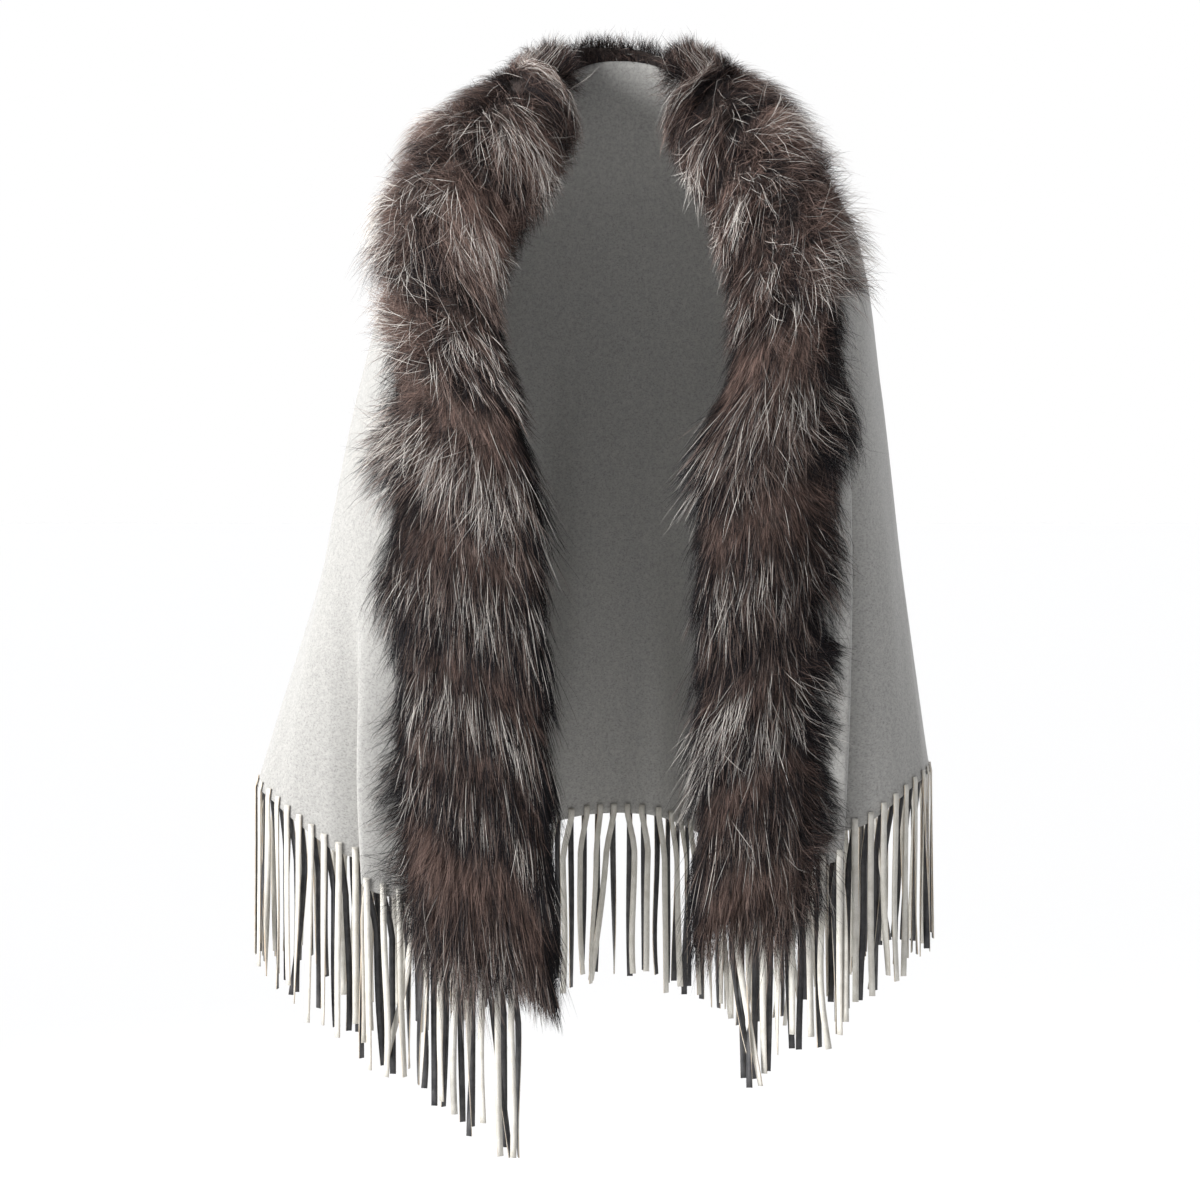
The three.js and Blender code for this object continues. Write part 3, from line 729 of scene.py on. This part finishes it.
# The cloth's grid row and column at a place along the trimmed edge and a distance out from it.
def gridSpot(side, edgeAt, out):
    out = np.maximum(out, 0)
    front = np.maximum(edgeAt, 0)
    drop = np.hypot(front, out)
    whole = np.interp(drop, drops, levelWholes[side])
    room = whole - drop * math.pi / 2
    lead = drop * np.arctan2(out, front) + np.maximum(-edgeAt, 0) / neckLengths[side] * room
    spread = easeIn(whole, cut["fanStart"], cut["fanFull"])
    front = cut["frontLength"] * spread
    rest = (lead - front) / (whole - front) * (cut["halfLength"] - cut["frontLength"])
    stations = np.where(lead <= front, lead / spread, cut["frontLength"] + rest)
    places = sideSigns[side] * (cut["halfLength"] - stations)
    return drop / cut["hemDrop"] * (len(drops) - 1), np.interp(places, around, np.arange(len(around)))


# The outward direction at the trimmed edge, for each place along it.
def edgeFrame(side):
    places = np.arange(-neckLengths[side], cut["hemDrop"], 4.0)
    rim = sample(cloth, *gridSpot(side, places, 0 * places))
    inside = sample(cloth, *gridSpot(side, places, 0 * places + 14))
    return places, soften(unit(inside - rim)[:, None, :], 8)[:, 0, :]


edgeFrames = {side: edgeFrame(side) for side in sideSigns}


# A place in the fur, given along the trimmed edge, out from it and up from the cloth, in millimetres.
def furPoint(side, edgeAt, out, high):
    past = np.maximum(np.hypot(np.maximum(edgeAt, 0), np.maximum(out, 0)) - cut["hemDrop"], 0)
    scale = cut["hemDrop"] / (cut["hemDrop"] + past)
    row, column = gridSpot(side, np.where(edgeAt > 0, edgeAt * scale, edgeAt), out * scale)
    row = np.minimum(row, len(drops) - 1.01)
    base = sample(furBase, row, column)
    normal = unit(sample(hairNormals, row, column))
    places, outwards = edgeFrames[side]
    outward = unit(np.stack([np.interp(edgeAt, places, outwards[:, k]) for k in range(3)], 1))
    place = base + normal * (high * mm)[:, None] + outward * (np.minimum(out, 0) * mm)[:, None]
    return place + down * (past * mm)[:, None]


# Where the fur stands fuller over the right shoulder, from 0 to 1.
def shoulderCap(edgeAt, share, onRight):
    return onRight * hump(edgeAt, 135, 80) * easeIn(share, 0.3, 0.7)


# Which tuft each place belongs to, and where in it: across from -1 to 1, down from 0 to 1.
def tuftPlace(side, edgeAt, share):
    wander = softNoise(edgeAt / 38 + 20, share * 4 + 9, 51) * tuftEdges["wander"]
    sway = softNoise(edgeAt / 30 + 3, share * 3 + 31, 52) * tuftEdges["sway"]
    nearest = np.full(edgeAt.shape, np.inf)
    number, across, downward = np.zeros(edgeAt.shape, int), np.zeros(edgeAt.shape), np.zeros(edgeAt.shape)
    for k, tuft in enumerate(tufts):
        if tuft["side"] != side:
            continue
        width = tuft["outer"] - tuft["inner"]
        u = (share + sway - tuft["inner"]) / width * 2 - 1
        arch = tuftEdges["arch"] * (1 - np.minimum(u * u, 1)) * min(width, 1)
        v = (edgeAt + wander + arch - tuft["first"]) / (tuft["last"] - tuft["first"])
        miss = np.maximum(np.abs(u), np.abs(2 * v - 1))
        isNearer = miss < nearest
        nearest = np.where(isNearer, miss, nearest)
        number = np.where(isNearer, k, number)
        across = np.where(isNearer, np.clip(u, -1.1, 1.1), across)
        downward = np.where(isNearer, np.clip(v, 0, 1), downward)
    return number, across, downward


# One side of the pelt's surface, from the back of the neck to the hem: the pelt's fields over a grid.
def peltSide(side, rows):
    sign = sideSigns[side]
    w = np.linspace(0, 1, fur["columns"])
    out, high = (np.interp(w, peltSection["w"], peltSection[key])[None, :] for key in ("out", "high"))
    edge = rows[:, None] + 0 * w[None, :]
    collar = 1 - easeIn(edge, -60, 60)
    rooted = fur["rootShare"][side] * (1 - collar) + fur["rootShare"]["collar"] * collar
    reach = np.interp(edge, fur["at"], fur["reach"][side]) * rooted
    reach = reach * (1 + fur["unevenReach"] * softNoise(edge / 45, 0 * edge + 7, 41 + sign))
    nose = np.interp(edge, fur["at"], fur["nose"][side])
    nose = nose * (1 + fur["unevenNose"] * softNoise(edge / 26, 0 * edge + 3, 43 + sign))
    away = np.where(out < 0, out * nose, out * reach)
    edge = np.where(edge > 0, edge * np.sqrt(1 - (np.maximum(away, 0) / cut["hemDrop"]) ** 2), edge)
    hanging = easeIn(edge, fur["hangsFrom"], cut["hemDrop"]) * easeIn(away, 20, 75)
    edge = edge + fur["overhang"][side] * hanging
    share = away / reach
    _, across, downward = tuftPlace(side, edge, share)
    mound = easeIn(downward, 0, 0.4) * (1 - 0.75 * easeIn(downward, 0.45, 1)) * (1 - 0.5 * across ** 2)
    lumps = softNoise(edge / 13 + 60, away / 9 + 11, 44 + sign) * fur["lumps"]
    crown = np.interp(edge, crownHeights["at"], crownHeights["high"])
    cap = shoulderCap(edge, share, side == "right")
    rise = crown * high * (fur["between"] + fur["mound"] * mound + lumps) * (1 + 0.5 * cap)
    raised = rise.ravel() + fur["offCloth"]
    place = furPoint(side, edge.ravel(), away.ravel(), raised).reshape((*edge.shape, 3))
    return {"place": place, "edgeAt": edge, "share": share, "out": away, "high": rise,
            "side": 0 * edge + sign}


# The pelt's surface: one grid from the right hem round the neck to the left hem.
def peltGrid():
    halves = []
    for side, neck in neckLengths.items():
        count = int((neck + cut["hemDrop"]) / fur["rowStep"])
        rows = np.linspace(-neck, cut["hemDrop"] - 1, count)
        halves.append(peltSide(side, rows[:0:-1] if side == "right" else rows))
    grid = {key: np.concatenate([half[key] for half in halves]) for key in halves[0]}
    grid["place"] = soften(grid["place"], 1)
    outRun, highRun = np.gradient(grid["out"], axis=1), np.gradient(grid["high"], axis=1)
    runLength = np.maximum(np.hypot(outRun, highRun), 1e-6)
    grid["outRun"], grid["highRun"] = outRun / runLength, highRun / runLength
    grid["normal"] = -gridNormals(grid["place"])  # its rows run the way that the cloth's columns do
    return grid


pelt = peltGrid()
print("pelt shaped,", pelt["place"].shape[0], "by", pelt["place"].shape[1])


# Picks roots over the pelt by area, and gathers what each root knows about its place and its tuft.
def scatterRoots(count, rng):
    place = pelt["place"]
    across = place[:-1, 1:] - place[:-1, :-1]
    downward = place[1:, :-1] - place[:-1, :-1]
    area = np.linalg.norm(np.cross(across, downward), axis=-1)
    picked = np.searchsorted(np.cumsum(area.ravel()), rng.random(count) * area.sum())
    rows, columns = np.divmod(picked, area.shape[1])
    rows = rows + rng.random(count)
    columns = columns + rng.random(count)
    kept = ("edgeAt", "share", "side", "out", "high", "outRun", "highRun")
    facts = {key: sample(pelt[key], rows, columns) for key in kept}
    facts["normal"] = unit(sample(pelt["normal"], rows, columns))
    facts["across"] = columns / (fur["columns"] - 1)
    facts["isRight"] = facts["side"] < 0
    facts["number"], facts["u"], facts["v"] = np.zeros(count, int), np.zeros(count), np.zeros(count)
    for side, chosen in bySide(facts["isRight"]):
        found = tuftPlace(side, facts["edgeAt"][chosen], facts["share"][chosen])
        for key, value in zip(("number", "u", "v"), found):
            facts[key][chosen] = value
    for key in ("angle", "fan", "brown", "silver", "mess", "long"):
        facts[key] = np.array([tuft[key] for tuft in tufts], float)[facts["number"]]
    return facts


def chosenFacts(facts, chosen):
    return {key: value[chosen] for key, value in facts.items()}


# Lengths, widths and the size of clumps in millimetres, and lifts off the pelt in degrees. start: how
# far under the pelt's surface the root lies. pull: how far hair hangs. vary: how much its tone varies.
# The guard hairs' own lengths are in the table of tufts.
hairTypes = {
    "guard": {
        "points": 5, "lengthSpread": 0.16, "lift": 44, "tipLift": -16, "width": 0.38,
        "clump": 6.5, "gather": 0.5, "curl": 0.5, "pull": 0.5, "start": -2, "vary": 0.75,
    },
    "down": {
        "points": 3, "length": 26, "lengthSpread": 0.25, "lift": 48, "tipLift": 6, "width": 0.44,
        "clump": 6, "gather": 0.4, "curl": 0.7, "pull": 0.2, "start": -2.5, "vary": 0.3,
    },
}
lowest = 2.0  # the least that hair stands off the cloth, in millimetres
highest = {"at": [-60, 60, 300, 420], "high": [62, 60, 54, 46]}  # the most, along the trimmed edge
shortest = 8  # of all the hairs

# How hair strays: in calm fur, and added in tangled fur. Shares for loose, degrees for the rest.
straying = {
    "loose": (0.06, 0.16), "turn": (5, 26), "stray": (4, 9), "drift": (6, 16), "looseTurn": (10, 26),
}

# What the zones of the fur add: to the length, as groups of shares that multiply, and in degrees to
# the lift of the root and of the tip.
lengthBy = [{"inner": -0.26, "crest": 0.5}, {"rim": -0.16}, {"ruffled": -0.25, "innerBehind": -0.35},
            {"outerHem": 0.45}, {"cap": 0.25}, {"innerTip": -0.42}]
liftBy = {"top": 20, "mess": 10, "fluffy": 14, "inner": -14, "crest": 30, "innerBehind": -22, "rolled": 16}
tipLiftBy = {"mess": 14, "fluffy": 28, "crest": 30, "cap": 22, "innerBehind": -20, "rolled": 24}

# Where the zones begin and end: across the pelt in parts of its width, along and out from the trimmed
# edge in millimetres, down a tuft, or with its mess. The crest and the ruff have a middle and a half.
zoneAt = {
    "inner": (0.10, 0.34), "rim": (0.8, 1), "collarTop": (0.2, 0.5), "top": (0, 0.45),
    "fluffy": (0.4, 0.9), "behind": (30, 90), "crest": (2, 60), "ruffled": (40, 75),
    "hem": (720, 800), "hemOut": (40, 85), "tip": (800, 860), "tipOut": (25, 70), "front": (-60, 80),
}


# How far each hair is in each zone of the fur, from 0 to 1.
def furZones(facts):
    edgeAt, share, out, across = (facts[key] for key in ("edgeAt", "share", "out", "across"))
    inner = 1 - easeIn(across, *zoneAt["inner"])
    behind = easeIn(-edgeAt, *zoneAt["behind"])
    return {
        "mess": facts["mess"],
        "fluffy": easeIn(facts["mess"], *zoneAt["fluffy"]),
        "top": 1 - easeIn(facts["v"], *zoneAt["top"]),  # of its tuft
        "inner": inner,
        "rim": easeIn(across, *zoneAt["rim"]),
        "crest": inner * hump(edgeAt, *zoneAt["crest"]),  # at the corner of the neck
        "ruffled": inner * hump(edgeAt, *zoneAt["ruffled"]),
        "innerBehind": behind * inner,
        "rolled": behind * (1 - inner) * (1 - easeIn(share, *zoneAt["collarTop"])),
        "cap": shoulderCap(edgeAt, share, facts["isRight"]),
        "outerHem": easeIn(edgeAt, *zoneAt["hem"]) * easeIn(out, *zoneAt["hemOut"]),
        "innerTip": (easeIn(edgeAt, *zoneAt["tip"]) * (1 - easeIn(out, *zoneAt["tipOut"]))
                     * facts["isRight"]),
        "front": easeIn(edgeAt, *zoneAt["front"]),
    }


def addUp(amounts, zones):
    return sum(amount * zones[name] for name, amount in amounts.items())


def strayed(key, zones):
    calm, tangled = straying[key]
    return calm + tangled * zones["mess"]


# Roots that lie near each other share a clump, which has a number.
def clumpIds(facts, size):
    x, y = facts["edgeAt"] / size, facts["out"] / size + facts["isRight"] * 100
    x = x + softNoise(x / 2.3, y / 2.3, 71) * 0.8
    column = np.floor(y + softNoise(x / 2.1 + 5, y / 2.1, 72) * 0.8)
    row = np.floor(x + ownChance(column, 7))
    _, numbers = np.unique((row + 600) * 4000 + column, return_inverse=True)
    return numbers


# Which way each hair lies in radians (0 down along the edge, a quarter turn away from it), and its curl.
def hairAngles(facts, zones, own, loose, curliness, rng):
    count = len(loose)
    u, top, fluffy = facts["u"], zones["top"], zones["fluffy"]
    angle = facts["angle"] + facts["fan"] * u * (1 + 0.7 * top * fluffy) + top * u * (6 + 19 * fluffy)
    angle = angle + strayed("turn", zones) * own["turn"]
    angle = angle + (strayed("stray", zones) + 36 * zones["ruffled"]) * rng.normal(0, 1, count)
    angle = angle + strayed("drift", zones) * softNoise(facts["edgeAt"] / 36, facts["share"] * 3 + 5, 61)
    angle = angle + loose * rng.normal(0, strayed("looseTurn", zones), count)
    curl = curliness * (0.25 + zones["mess"]) * (rng.normal(0, 0.8, count) + own["turn"])
    return np.radians(angle), curl


def hairLengths(facts, zones, own, loose, kind, rng):
    spec = hairTypes[kind]
    if kind == "down":
        length = spec["length"] * (1 + 0.35 * zones["fluffy"])
    else:
        length = facts["long"] * (0.80 + 0.22 * easeIn(facts["v"], 0.1, 0.5))
    for group in lengthBy:
        length = length * (1 + addUp(group, zones))
    spread = 0.7 * own["length"] + 0.5 * rng.normal(0, 1, len(loose))
    length = length * (1 + spec["lengthSpread"] * spread)
    return np.maximum(length * (1 + 0.2 * loose) * (1 + 0.1 * facts["pale"]), shortest)


# The hairs' lift off the pelt at the root and at the tip, in radians.
def hairLifts(zones, own, spec, count, rng):
    fluffy = zones["fluffy"]
    lift = spec["lift"] + addUp(liftBy, zones) + 9 * own["lift"] + 6 * rng.normal(0, 1, count)
    wild = (7 + 9 * fluffy + 16 * zones["ruffled"]) * rng.normal(0, 1, count)
    tipLift = spec["tipLift"] + addUp(tipLiftBy, zones) + (8 + 8 * fluffy) * own["lift"] + wild
    return np.radians(lift), np.radians(tipLift)


# Middle lines of the hairs, from their roots to their tips. They grow in the fur's own space, along
# the edge, out from it and up from the cloth, and are then laid on the cloth.
def growHair(facts, kind, rng):
    spec = hairTypes[kind]
    points = spec["points"]
    count = len(facts["u"])
    zero = np.zeros(count)
    zones = furZones(facts)
    clump = clumpIds(facts, spec["clump"])
    own = {key: (ownChance(clump, k) - 0.5) * 2 for k, key in enumerate(("turn", "lift", "length"))}
    loose = rng.random(count) < strayed("loose", zones)
    angle, curl = hairAngles(facts, zones, own, loose, spec["curl"], rng)
    length = hairLengths(facts, zones, own, loose, kind, rng)
    lift, tipLift = hairLifts(zones, own, spec, count, rng)
    outFlow = np.stack([zero, facts["outRun"], facts["highRun"]], 1)
    upward = np.stack([zero, -facts["highRun"], facts["outRun"]], 1)
    hang = np.stack([0.3 + 0.7 * zones["front"], 1 - zones["front"], zero], 1)
    calm = (1 - 0.6 * zones["mess"]) * (1 - 0.7 * zones["fluffy"]) * (1 - zones["crest"])
    root = np.stack([facts["edgeAt"], facts["out"], facts["high"]], 1)
    lines = [root + upward * spec["start"]]
    for k in range(points - 1):
        part = (k + 0.5) / (points - 1)
        bend = (angle + curl * (part - 0.2))[:, None]
        flow = np.array([1.0, 0, 0]) * np.cos(bend) + outFlow * np.sin(bend)
        raised = (lift + (tipLift - lift) * part ** 0.8)[:, None]
        step = flow * np.cos(raised) + upward * np.sin(raised)
        step = unit(step + hang * (spec["pull"] * calm * part ** 1.5)[:, None])
        lines.append(lines[-1] + step * (length / (points - 1))[:, None])
    lines = np.array(lines).transpose(1, 0, 2)
    return layHair(gatherHair(lines, root, clump, loose, spec["gather"], rng), facts["isRight"])


# Draws the tips of each clump together.
def gatherHair(lines, root, clump, loose, gather, rng):
    size = np.maximum(np.bincount(clump), 1)
    centre = np.stack([np.bincount(clump, root[:, k]) / size for k in range(3)], 1)
    parts = np.linspace(0, 1, lines.shape[1])
    held = gather * rng.uniform(0.3, 1.2, len(loose)) * (1 - 0.9 * loose)
    return lines - (root - centre[clump])[:, None, :] * (held[:, None] * parts ** 1.3)[..., None]


# Keeps the hair between its lowest and highest, and lays it on the cloth.
def layHair(lines, onRight):
    along, out, high = lines[..., 0], lines[..., 1], lines[..., 2]
    most = np.interp(along, highest["at"], highest["high"])
    high = np.where(high > 0, most * np.tanh(high / most), high)
    high = np.where(out > 0, np.maximum(high, lowest), high)
    laid = np.empty_like(lines)
    for side, chosen in bySide(onRight):
        spots = (field[chosen].ravel() for field in (along, out, high))
        laid[chosen] = furPoint(side, *spots).reshape(-1, lines.shape[1], 3)
    return laid


# How much a tuft's guard hairs cover each place: few where its underfur shows.
def guardShare(facts):
    v, mess = facts["v"], facts["mess"]
    body = easeIn(v, 0.22, 0.5) * (1 - 0.55 * easeIn(v, 0.85, 1.0)) * (1 - 0.25 * easeIn(mess, 0.5, 0.9))
    sides = easeIn(np.abs(facts["u"]), 0.62, 0.95) * (1 - 0.4 * mess)
    fewest = 0.10 + 0.34 * (1 - facts["brown"])
    return fewest + (1 - fewest) * np.maximum(body, 0.9 * sides)


# How light hair is within its kind, from 0 to 1: in the middle of a tuft, and taken off elsewhere. Painted
# shade darkens the top of each tuft and its sides; near the trimmed edge and in calm tufts it is darker, in
# fluffy ones lighter.
toneAndPaintedShade = {"middle": 0.54, "top": 0.34, "sides": 0.28, "inner": 0.2, "calm": 0.12, "fluffy": -0.10}
# The share of each kind of guard hair: everywhere, and added by how silver, brown or fluffy it is.
# What the others leave is black.
guardKinds = {
    "white guard": (0.005, {"silver": 0.15}), "silver guard": (0.006, {"silver": 0.20}),
    "grizzled guard": (0.02, {"grey": 0.07}), "brown guard": (0.04, {"brown": 0.30, "fluffy": 0.22}),
}
downKinds = {"pale down": (0, {"light": 0.62}), "brown down": (0.12, {"light": 0.36})}


# Where the shades begin and end, painted shade among them: across the pelt, across or down a tuft, or with
# its mess.
shadeAt = {
    "inner": (0.16, 0.36), "sides": (0.55, 1.0), "top": (0, 0.22), "calm": (0.2, 0.5),
    "fluffy": (0.5, 0.9), "wild": (0.6, 0.9), "underfur": (0.04, 0.26), "underfurEnd": (0.7, 1),
    "silver": (0.1, 0.32), "silverEnd": (0.58, 0.82),
}


def shadeEase(value, name):
    return easeIn(value, *shadeAt[name])


# Which kind of hair each one is, and how light within its kind with painted shade at the tops and sides of
# tufts, as its place across the map.
def hairShades(facts, kind, rng):
    count = len(facts["u"])
    v, mess = facts["v"], facts["mess"]
    clump = clumpIds(facts, hairTypes[kind]["clump"])
    chance = np.where(rng.random(count) < 0.6, rng.random(count), ownChance(clump, 4))
    inner = 1 - shadeEase(facts["across"], "inner")
    sides = shadeEase(np.abs(facts["u"]), "sides")
    zones = {"top": 1 - shadeEase(v, "top"), "sides": sides * (1 - 0.6 * mess), "inner": inner,
             "calm": 1 - shadeEase(mess, "calm"), "fluffy": shadeEase(mess, "fluffy")}
    varied = 0.4 * (ownChance(clump, 5) - 0.5) + 0.6 * (rng.random(count) - 0.5)
    tone = toneAndPaintedShade["middle"] + hairTypes[kind]["vary"] * varied
    # Painted shade at the top of each tuft and at its sides; darker near the trimmed edge and in calm tufts,
    # lighter in fluffy ones.
    tone = tone - sum(toneAndPaintedShade[name] * zone for name, zone in zones.items())
    patch = softNoise(facts["edgeAt"] / 50 + 3, facts["share"] * 2.4, 81)
    if kind == "down":
        light = facts["brown"] * shadeEase(v, "underfur") * (1 - 0.45 * shadeEase(v, "underfurEnd"))
        light = light * (1 - 0.75 * sides)
        zones["light"] = np.clip(light * (1 - 0.8 * inner) + 0.12 * patch, 0, 1.3)
        kinds, rest = downKinds, "grey down"
    else:
        silver = facts["silver"] * shadeEase(v, "silver") * (1 - 0.9 * shadeEase(v, "silverEnd"))
        silver = np.clip(silver * (1 - 0.7 * inner) * (1 - 0.6 * sides) + 0.08 * patch, 0, 1)
        zones["silver"] = silver * (1 - 0.3 * zones["calm"] + 0.4 * shadeEase(mess, "wild"))
        zones["grey"] = silver
        zones["brown"] = facts["brown"] * (1 - sides) * (1 - inner)
        kinds, rest = guardKinds, "black guard"
    which = np.full(count, kindIndex[rest])
    reached = np.zeros(count)
    for name, (least, added) in kinds.items():
        share = least + addUp(added, zones)
        which = np.where((chance >= reached) & (chance < reached + share), kindIndex[name], which)
        reached = reached + share
    facts["pale"] = np.isin(which, [kindIndex["white guard"], kindIndex["silver guard"]]).astype(float)
    return (which + np.clip(tone, 0.08, 0.92)) / len(hairKinds)


# A blade's width along its length, in parts of its full width, and how much blades differ.
blade = {"at": [0, 0.3, 0.7, 1], "width": [0.75, 1, 0.8, 0.12], "uneven": (0.7, 1.2), "turn": 0.4}
# The strip of the hair's map that a blade takes: its half width, and its ends.
bladeMap = {"half": 0.0022, "start": 0.01, "length": 0.98}


# Flat tapering blades along the lines, joined in one mesh.
def hairMesh(name, groups):
    places, corners, sizes, maps = [], [], [], []
    offset = 0
    for lines, shade, normals, width, seed in groups:
        rng = np.random.default_rng(seed)
        count, points = lines.shape[:2]
        run = unit(np.gradient(lines, axis=1))
        facing = unit(normals + blade["turn"] * rng.normal(0, 1, (count, 3)))[:, None, :]
        side = unit(np.cross(run, facing))
        parts = np.linspace(0, 1, points)
        profile = np.interp(parts, blade["at"], blade["width"])[None, :, None]
        profile = width * mm * 0.5 * rng.uniform(*blade["uneven"], count)[:, None, None] * profile
        left, right = lines - side * profile, lines + side * profile
        body = np.stack([left[:, :-1], right[:, :-1]], 2).reshape(count, -1, 3)
        blades = np.concatenate([body, lines[:, -1:]], 1)
        each = blades.shape[1]
        base = offset + np.arange(count)[:, None] * each
        quads = [[2 * k, 2 * k + 1, 2 * k + 3, 2 * k + 2] for k in range(points - 2)]
        pattern = np.array(sum(quads, []) + [each - 3, each - 2, each - 1])
        corners.append((base + pattern[None, :]).ravel())
        sizes.append(np.tile([4] * (points - 2) + [3], count))
        places.append(blades.reshape(-1, 3))
        sideways = np.array([-1, 1] * (points - 1) + [0]) * bladeMap["half"]
        upward = np.concatenate([np.repeat(parts[:-1], 2), [1.0]])
        u = shade[:, None] + sideways[None, pattern]
        v = np.broadcast_to(bladeMap["start"] + bladeMap["length"] * upward[None, pattern], u.shape)
        maps.append(np.stack([u, v], -1).reshape(-1, 2))
        offset += count * each
    mesh = joinedMesh(name, np.concatenate(places), np.concatenate(corners), np.concatenate(sizes))
    layer = mesh.uv_layers.new(name=hairFinish["map"])
    layer.uv.foreach_set("vector", np.concatenate(maps).astype(np.float32).ravel())
    mesh.materials.append(materials["hair"])
    mesh.shade_smooth()
    return mesh


def makePelt():
    skin = gridPiece("fur_pelt", pelt["place"], materials["pelt"])
    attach(skin, "root")
    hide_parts("fur_collar", "fur_front_right", "fur_front_left")
    return skin


# Each stretch of the fur is its own piece: the side, and the places along the edge it lies between.
stretches = {
    "fur_hair_collar_right": ("right", -400, 50, "fur_collar"),
    "fur_hair_collar_left": ("left", -400, 50, "fur_collar"),
    "fur_hair_right_upper": ("right", 50, 430, "fur_front_right"),
    "fur_hair_right_lower": ("right", 430, 2000, "fur_front_right"),
    "fur_hair_left_upper": ("left", 50, 430, "fur_front_left"),
    "fur_hair_left_lower": ("left", 430, 2000, "fur_front_left"),
}


def makeFur():
    rng = np.random.default_rng(fur["seed"])
    grown = {}
    for kind, count in fur["count"].items():
        facts = scatterRoots(count, rng)
        if kind == "guard":
            facts = chosenFacts(facts, rng.random(count) < guardShare(facts))
        shades = hairShades(facts, kind, rng)
        grown[kind] = (facts, growHair(facts, kind, rng), shades)
        print(kind, "hairs", len(shades))
    pieces = []
    for number, (name, (side, first, last, node)) in enumerate(stretches.items()):
        groups = []
        for kind, (facts, lines, shade) in grown.items():
            chosen = ((facts["isRight"] == (side == "right"))
                      & (facts["edgeAt"] >= first) & (facts["edgeAt"] < last))
            groups.append((lines[chosen], shade[chosen], facts["normal"][chosen],
                           hairTypes[kind]["width"], number))
        piece = addObject(name, hairMesh(name, groups))
        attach(piece, "root")
        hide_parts(node)
        print(name, "of", len(piece.data.polygons), "faces")
        pieces.append(piece)
    return pieces


peltSkin = makePelt()
hairs = makeFur()

print("fur grown")


# Places in metres. toward is how strongly the light rises with each direction, from level.
studio = {
    "floorAt": -1.9, "floorSize": 40, "floorColour": (0.86, 0.86, 0.86), "floorRoughness": 0.9,
    "behind": (1.0, 1.0, 1.0), "ahead": (0.12, 0.125, 0.14), "aheadAt": 0.2, "behindAt": 0.85,
    "toward": {"Y": 0.55, "X": -0.38, "Z": 0.25}, "level": 0.5,
    "lens": 100, "sensor": 36, "cameraAt": (-0.021, -3.70, -0.33), "cameraTilt": 3.38,
    "keyFrom": (-0.81, -0.47, 0.32), "keyPower": 4.5, "keySpread": 30,
    "rimFrom": (-1.6, 2.4, 1.2), "rimAim": (0, 0, -0.5), "rimPower": 20, "rimSize": 2.0,
}


def addLight(name, kind, at, aim, **settings):
    light = bpy.data.lights.new(name, kind)
    for key, value in settings.items():
        setattr(light, key, value)
    holder = addObject(name, light)
    holder.location = at
    holder.rotation_euler = (Vector(aim) - Vector(at)).to_track_quat("-Z", "Y").to_euler()


# Light that grows from ahead to behind, while the camera sees plain pale surroundings.
def makeWorld():
    world = bpy.data.worlds.new("studio")
    world.use_nodes = True
    direction = addNode(world, "ShaderNodeTexCoord").outputs["Generated"]
    parts = addNode(world, "ShaderNodeSeparateXYZ", {0: direction})
    facing = weighted(world, *((parts.outputs[axis], share) for axis, share in studio["toward"].items()))
    place = calculate(world, "ADD", facing, studio["level"])
    stops = [(studio["aheadAt"], studio["ahead"]), (studio["behindAt"], studio["behind"])]
    light = rampOf(world, place, stops)
    isSeen = addNode(world, "ShaderNodeLightPath").outputs["Is Camera Ray"]
    colour = mixColours(world, "MIX", isSeen, light, (*studio["behind"], 1))
    feed(world, colour, world.node_tree.nodes["Background"].inputs["Color"])
    bpy.context.scene.world = world


def makeFloor():
    bm = bmesh.new()
    bmesh.ops.create_grid(bm, x_segments=2, y_segments=2, size=studio["floorSize"])
    bmesh.ops.translate(bm, verts=bm.verts, vec=(0, 0, studio["floorAt"]))
    mesh = bpy.data.meshes.new("floor")
    bm.to_mesh(mesh)
    bm.free()
    material, _ = newMaterial("floor_pale", studio["floorColour"], studio["floorRoughness"])
    mesh.materials.append(material)
    addObject("floor", mesh)


def makeCamera():
    camera = bpy.data.cameras.new("camera")
    camera.lens = studio["lens"]
    camera.sensor_width = studio["sensor"]
    holder = addObject("camera", camera)
    holder.location = studio["cameraAt"]
    holder.rotation_euler = (math.radians(90 - studio["cameraTilt"]), 0, 0)
    bpy.context.scene.camera = holder


makeFloor()
addLight("key", "SUN", studio["keyFrom"], (0, 0, 0), energy=studio["keyPower"],
         angle=math.radians(studio["keySpread"]))
addLight("rim", "AREA", studio["rimFrom"], studio["rimAim"], energy=studio["rimPower"],
         size=studio["rimSize"])
makeWorld()
makeCamera()
bpy.context.scene.view_settings.view_transform = "Standard"
print("studio ready")
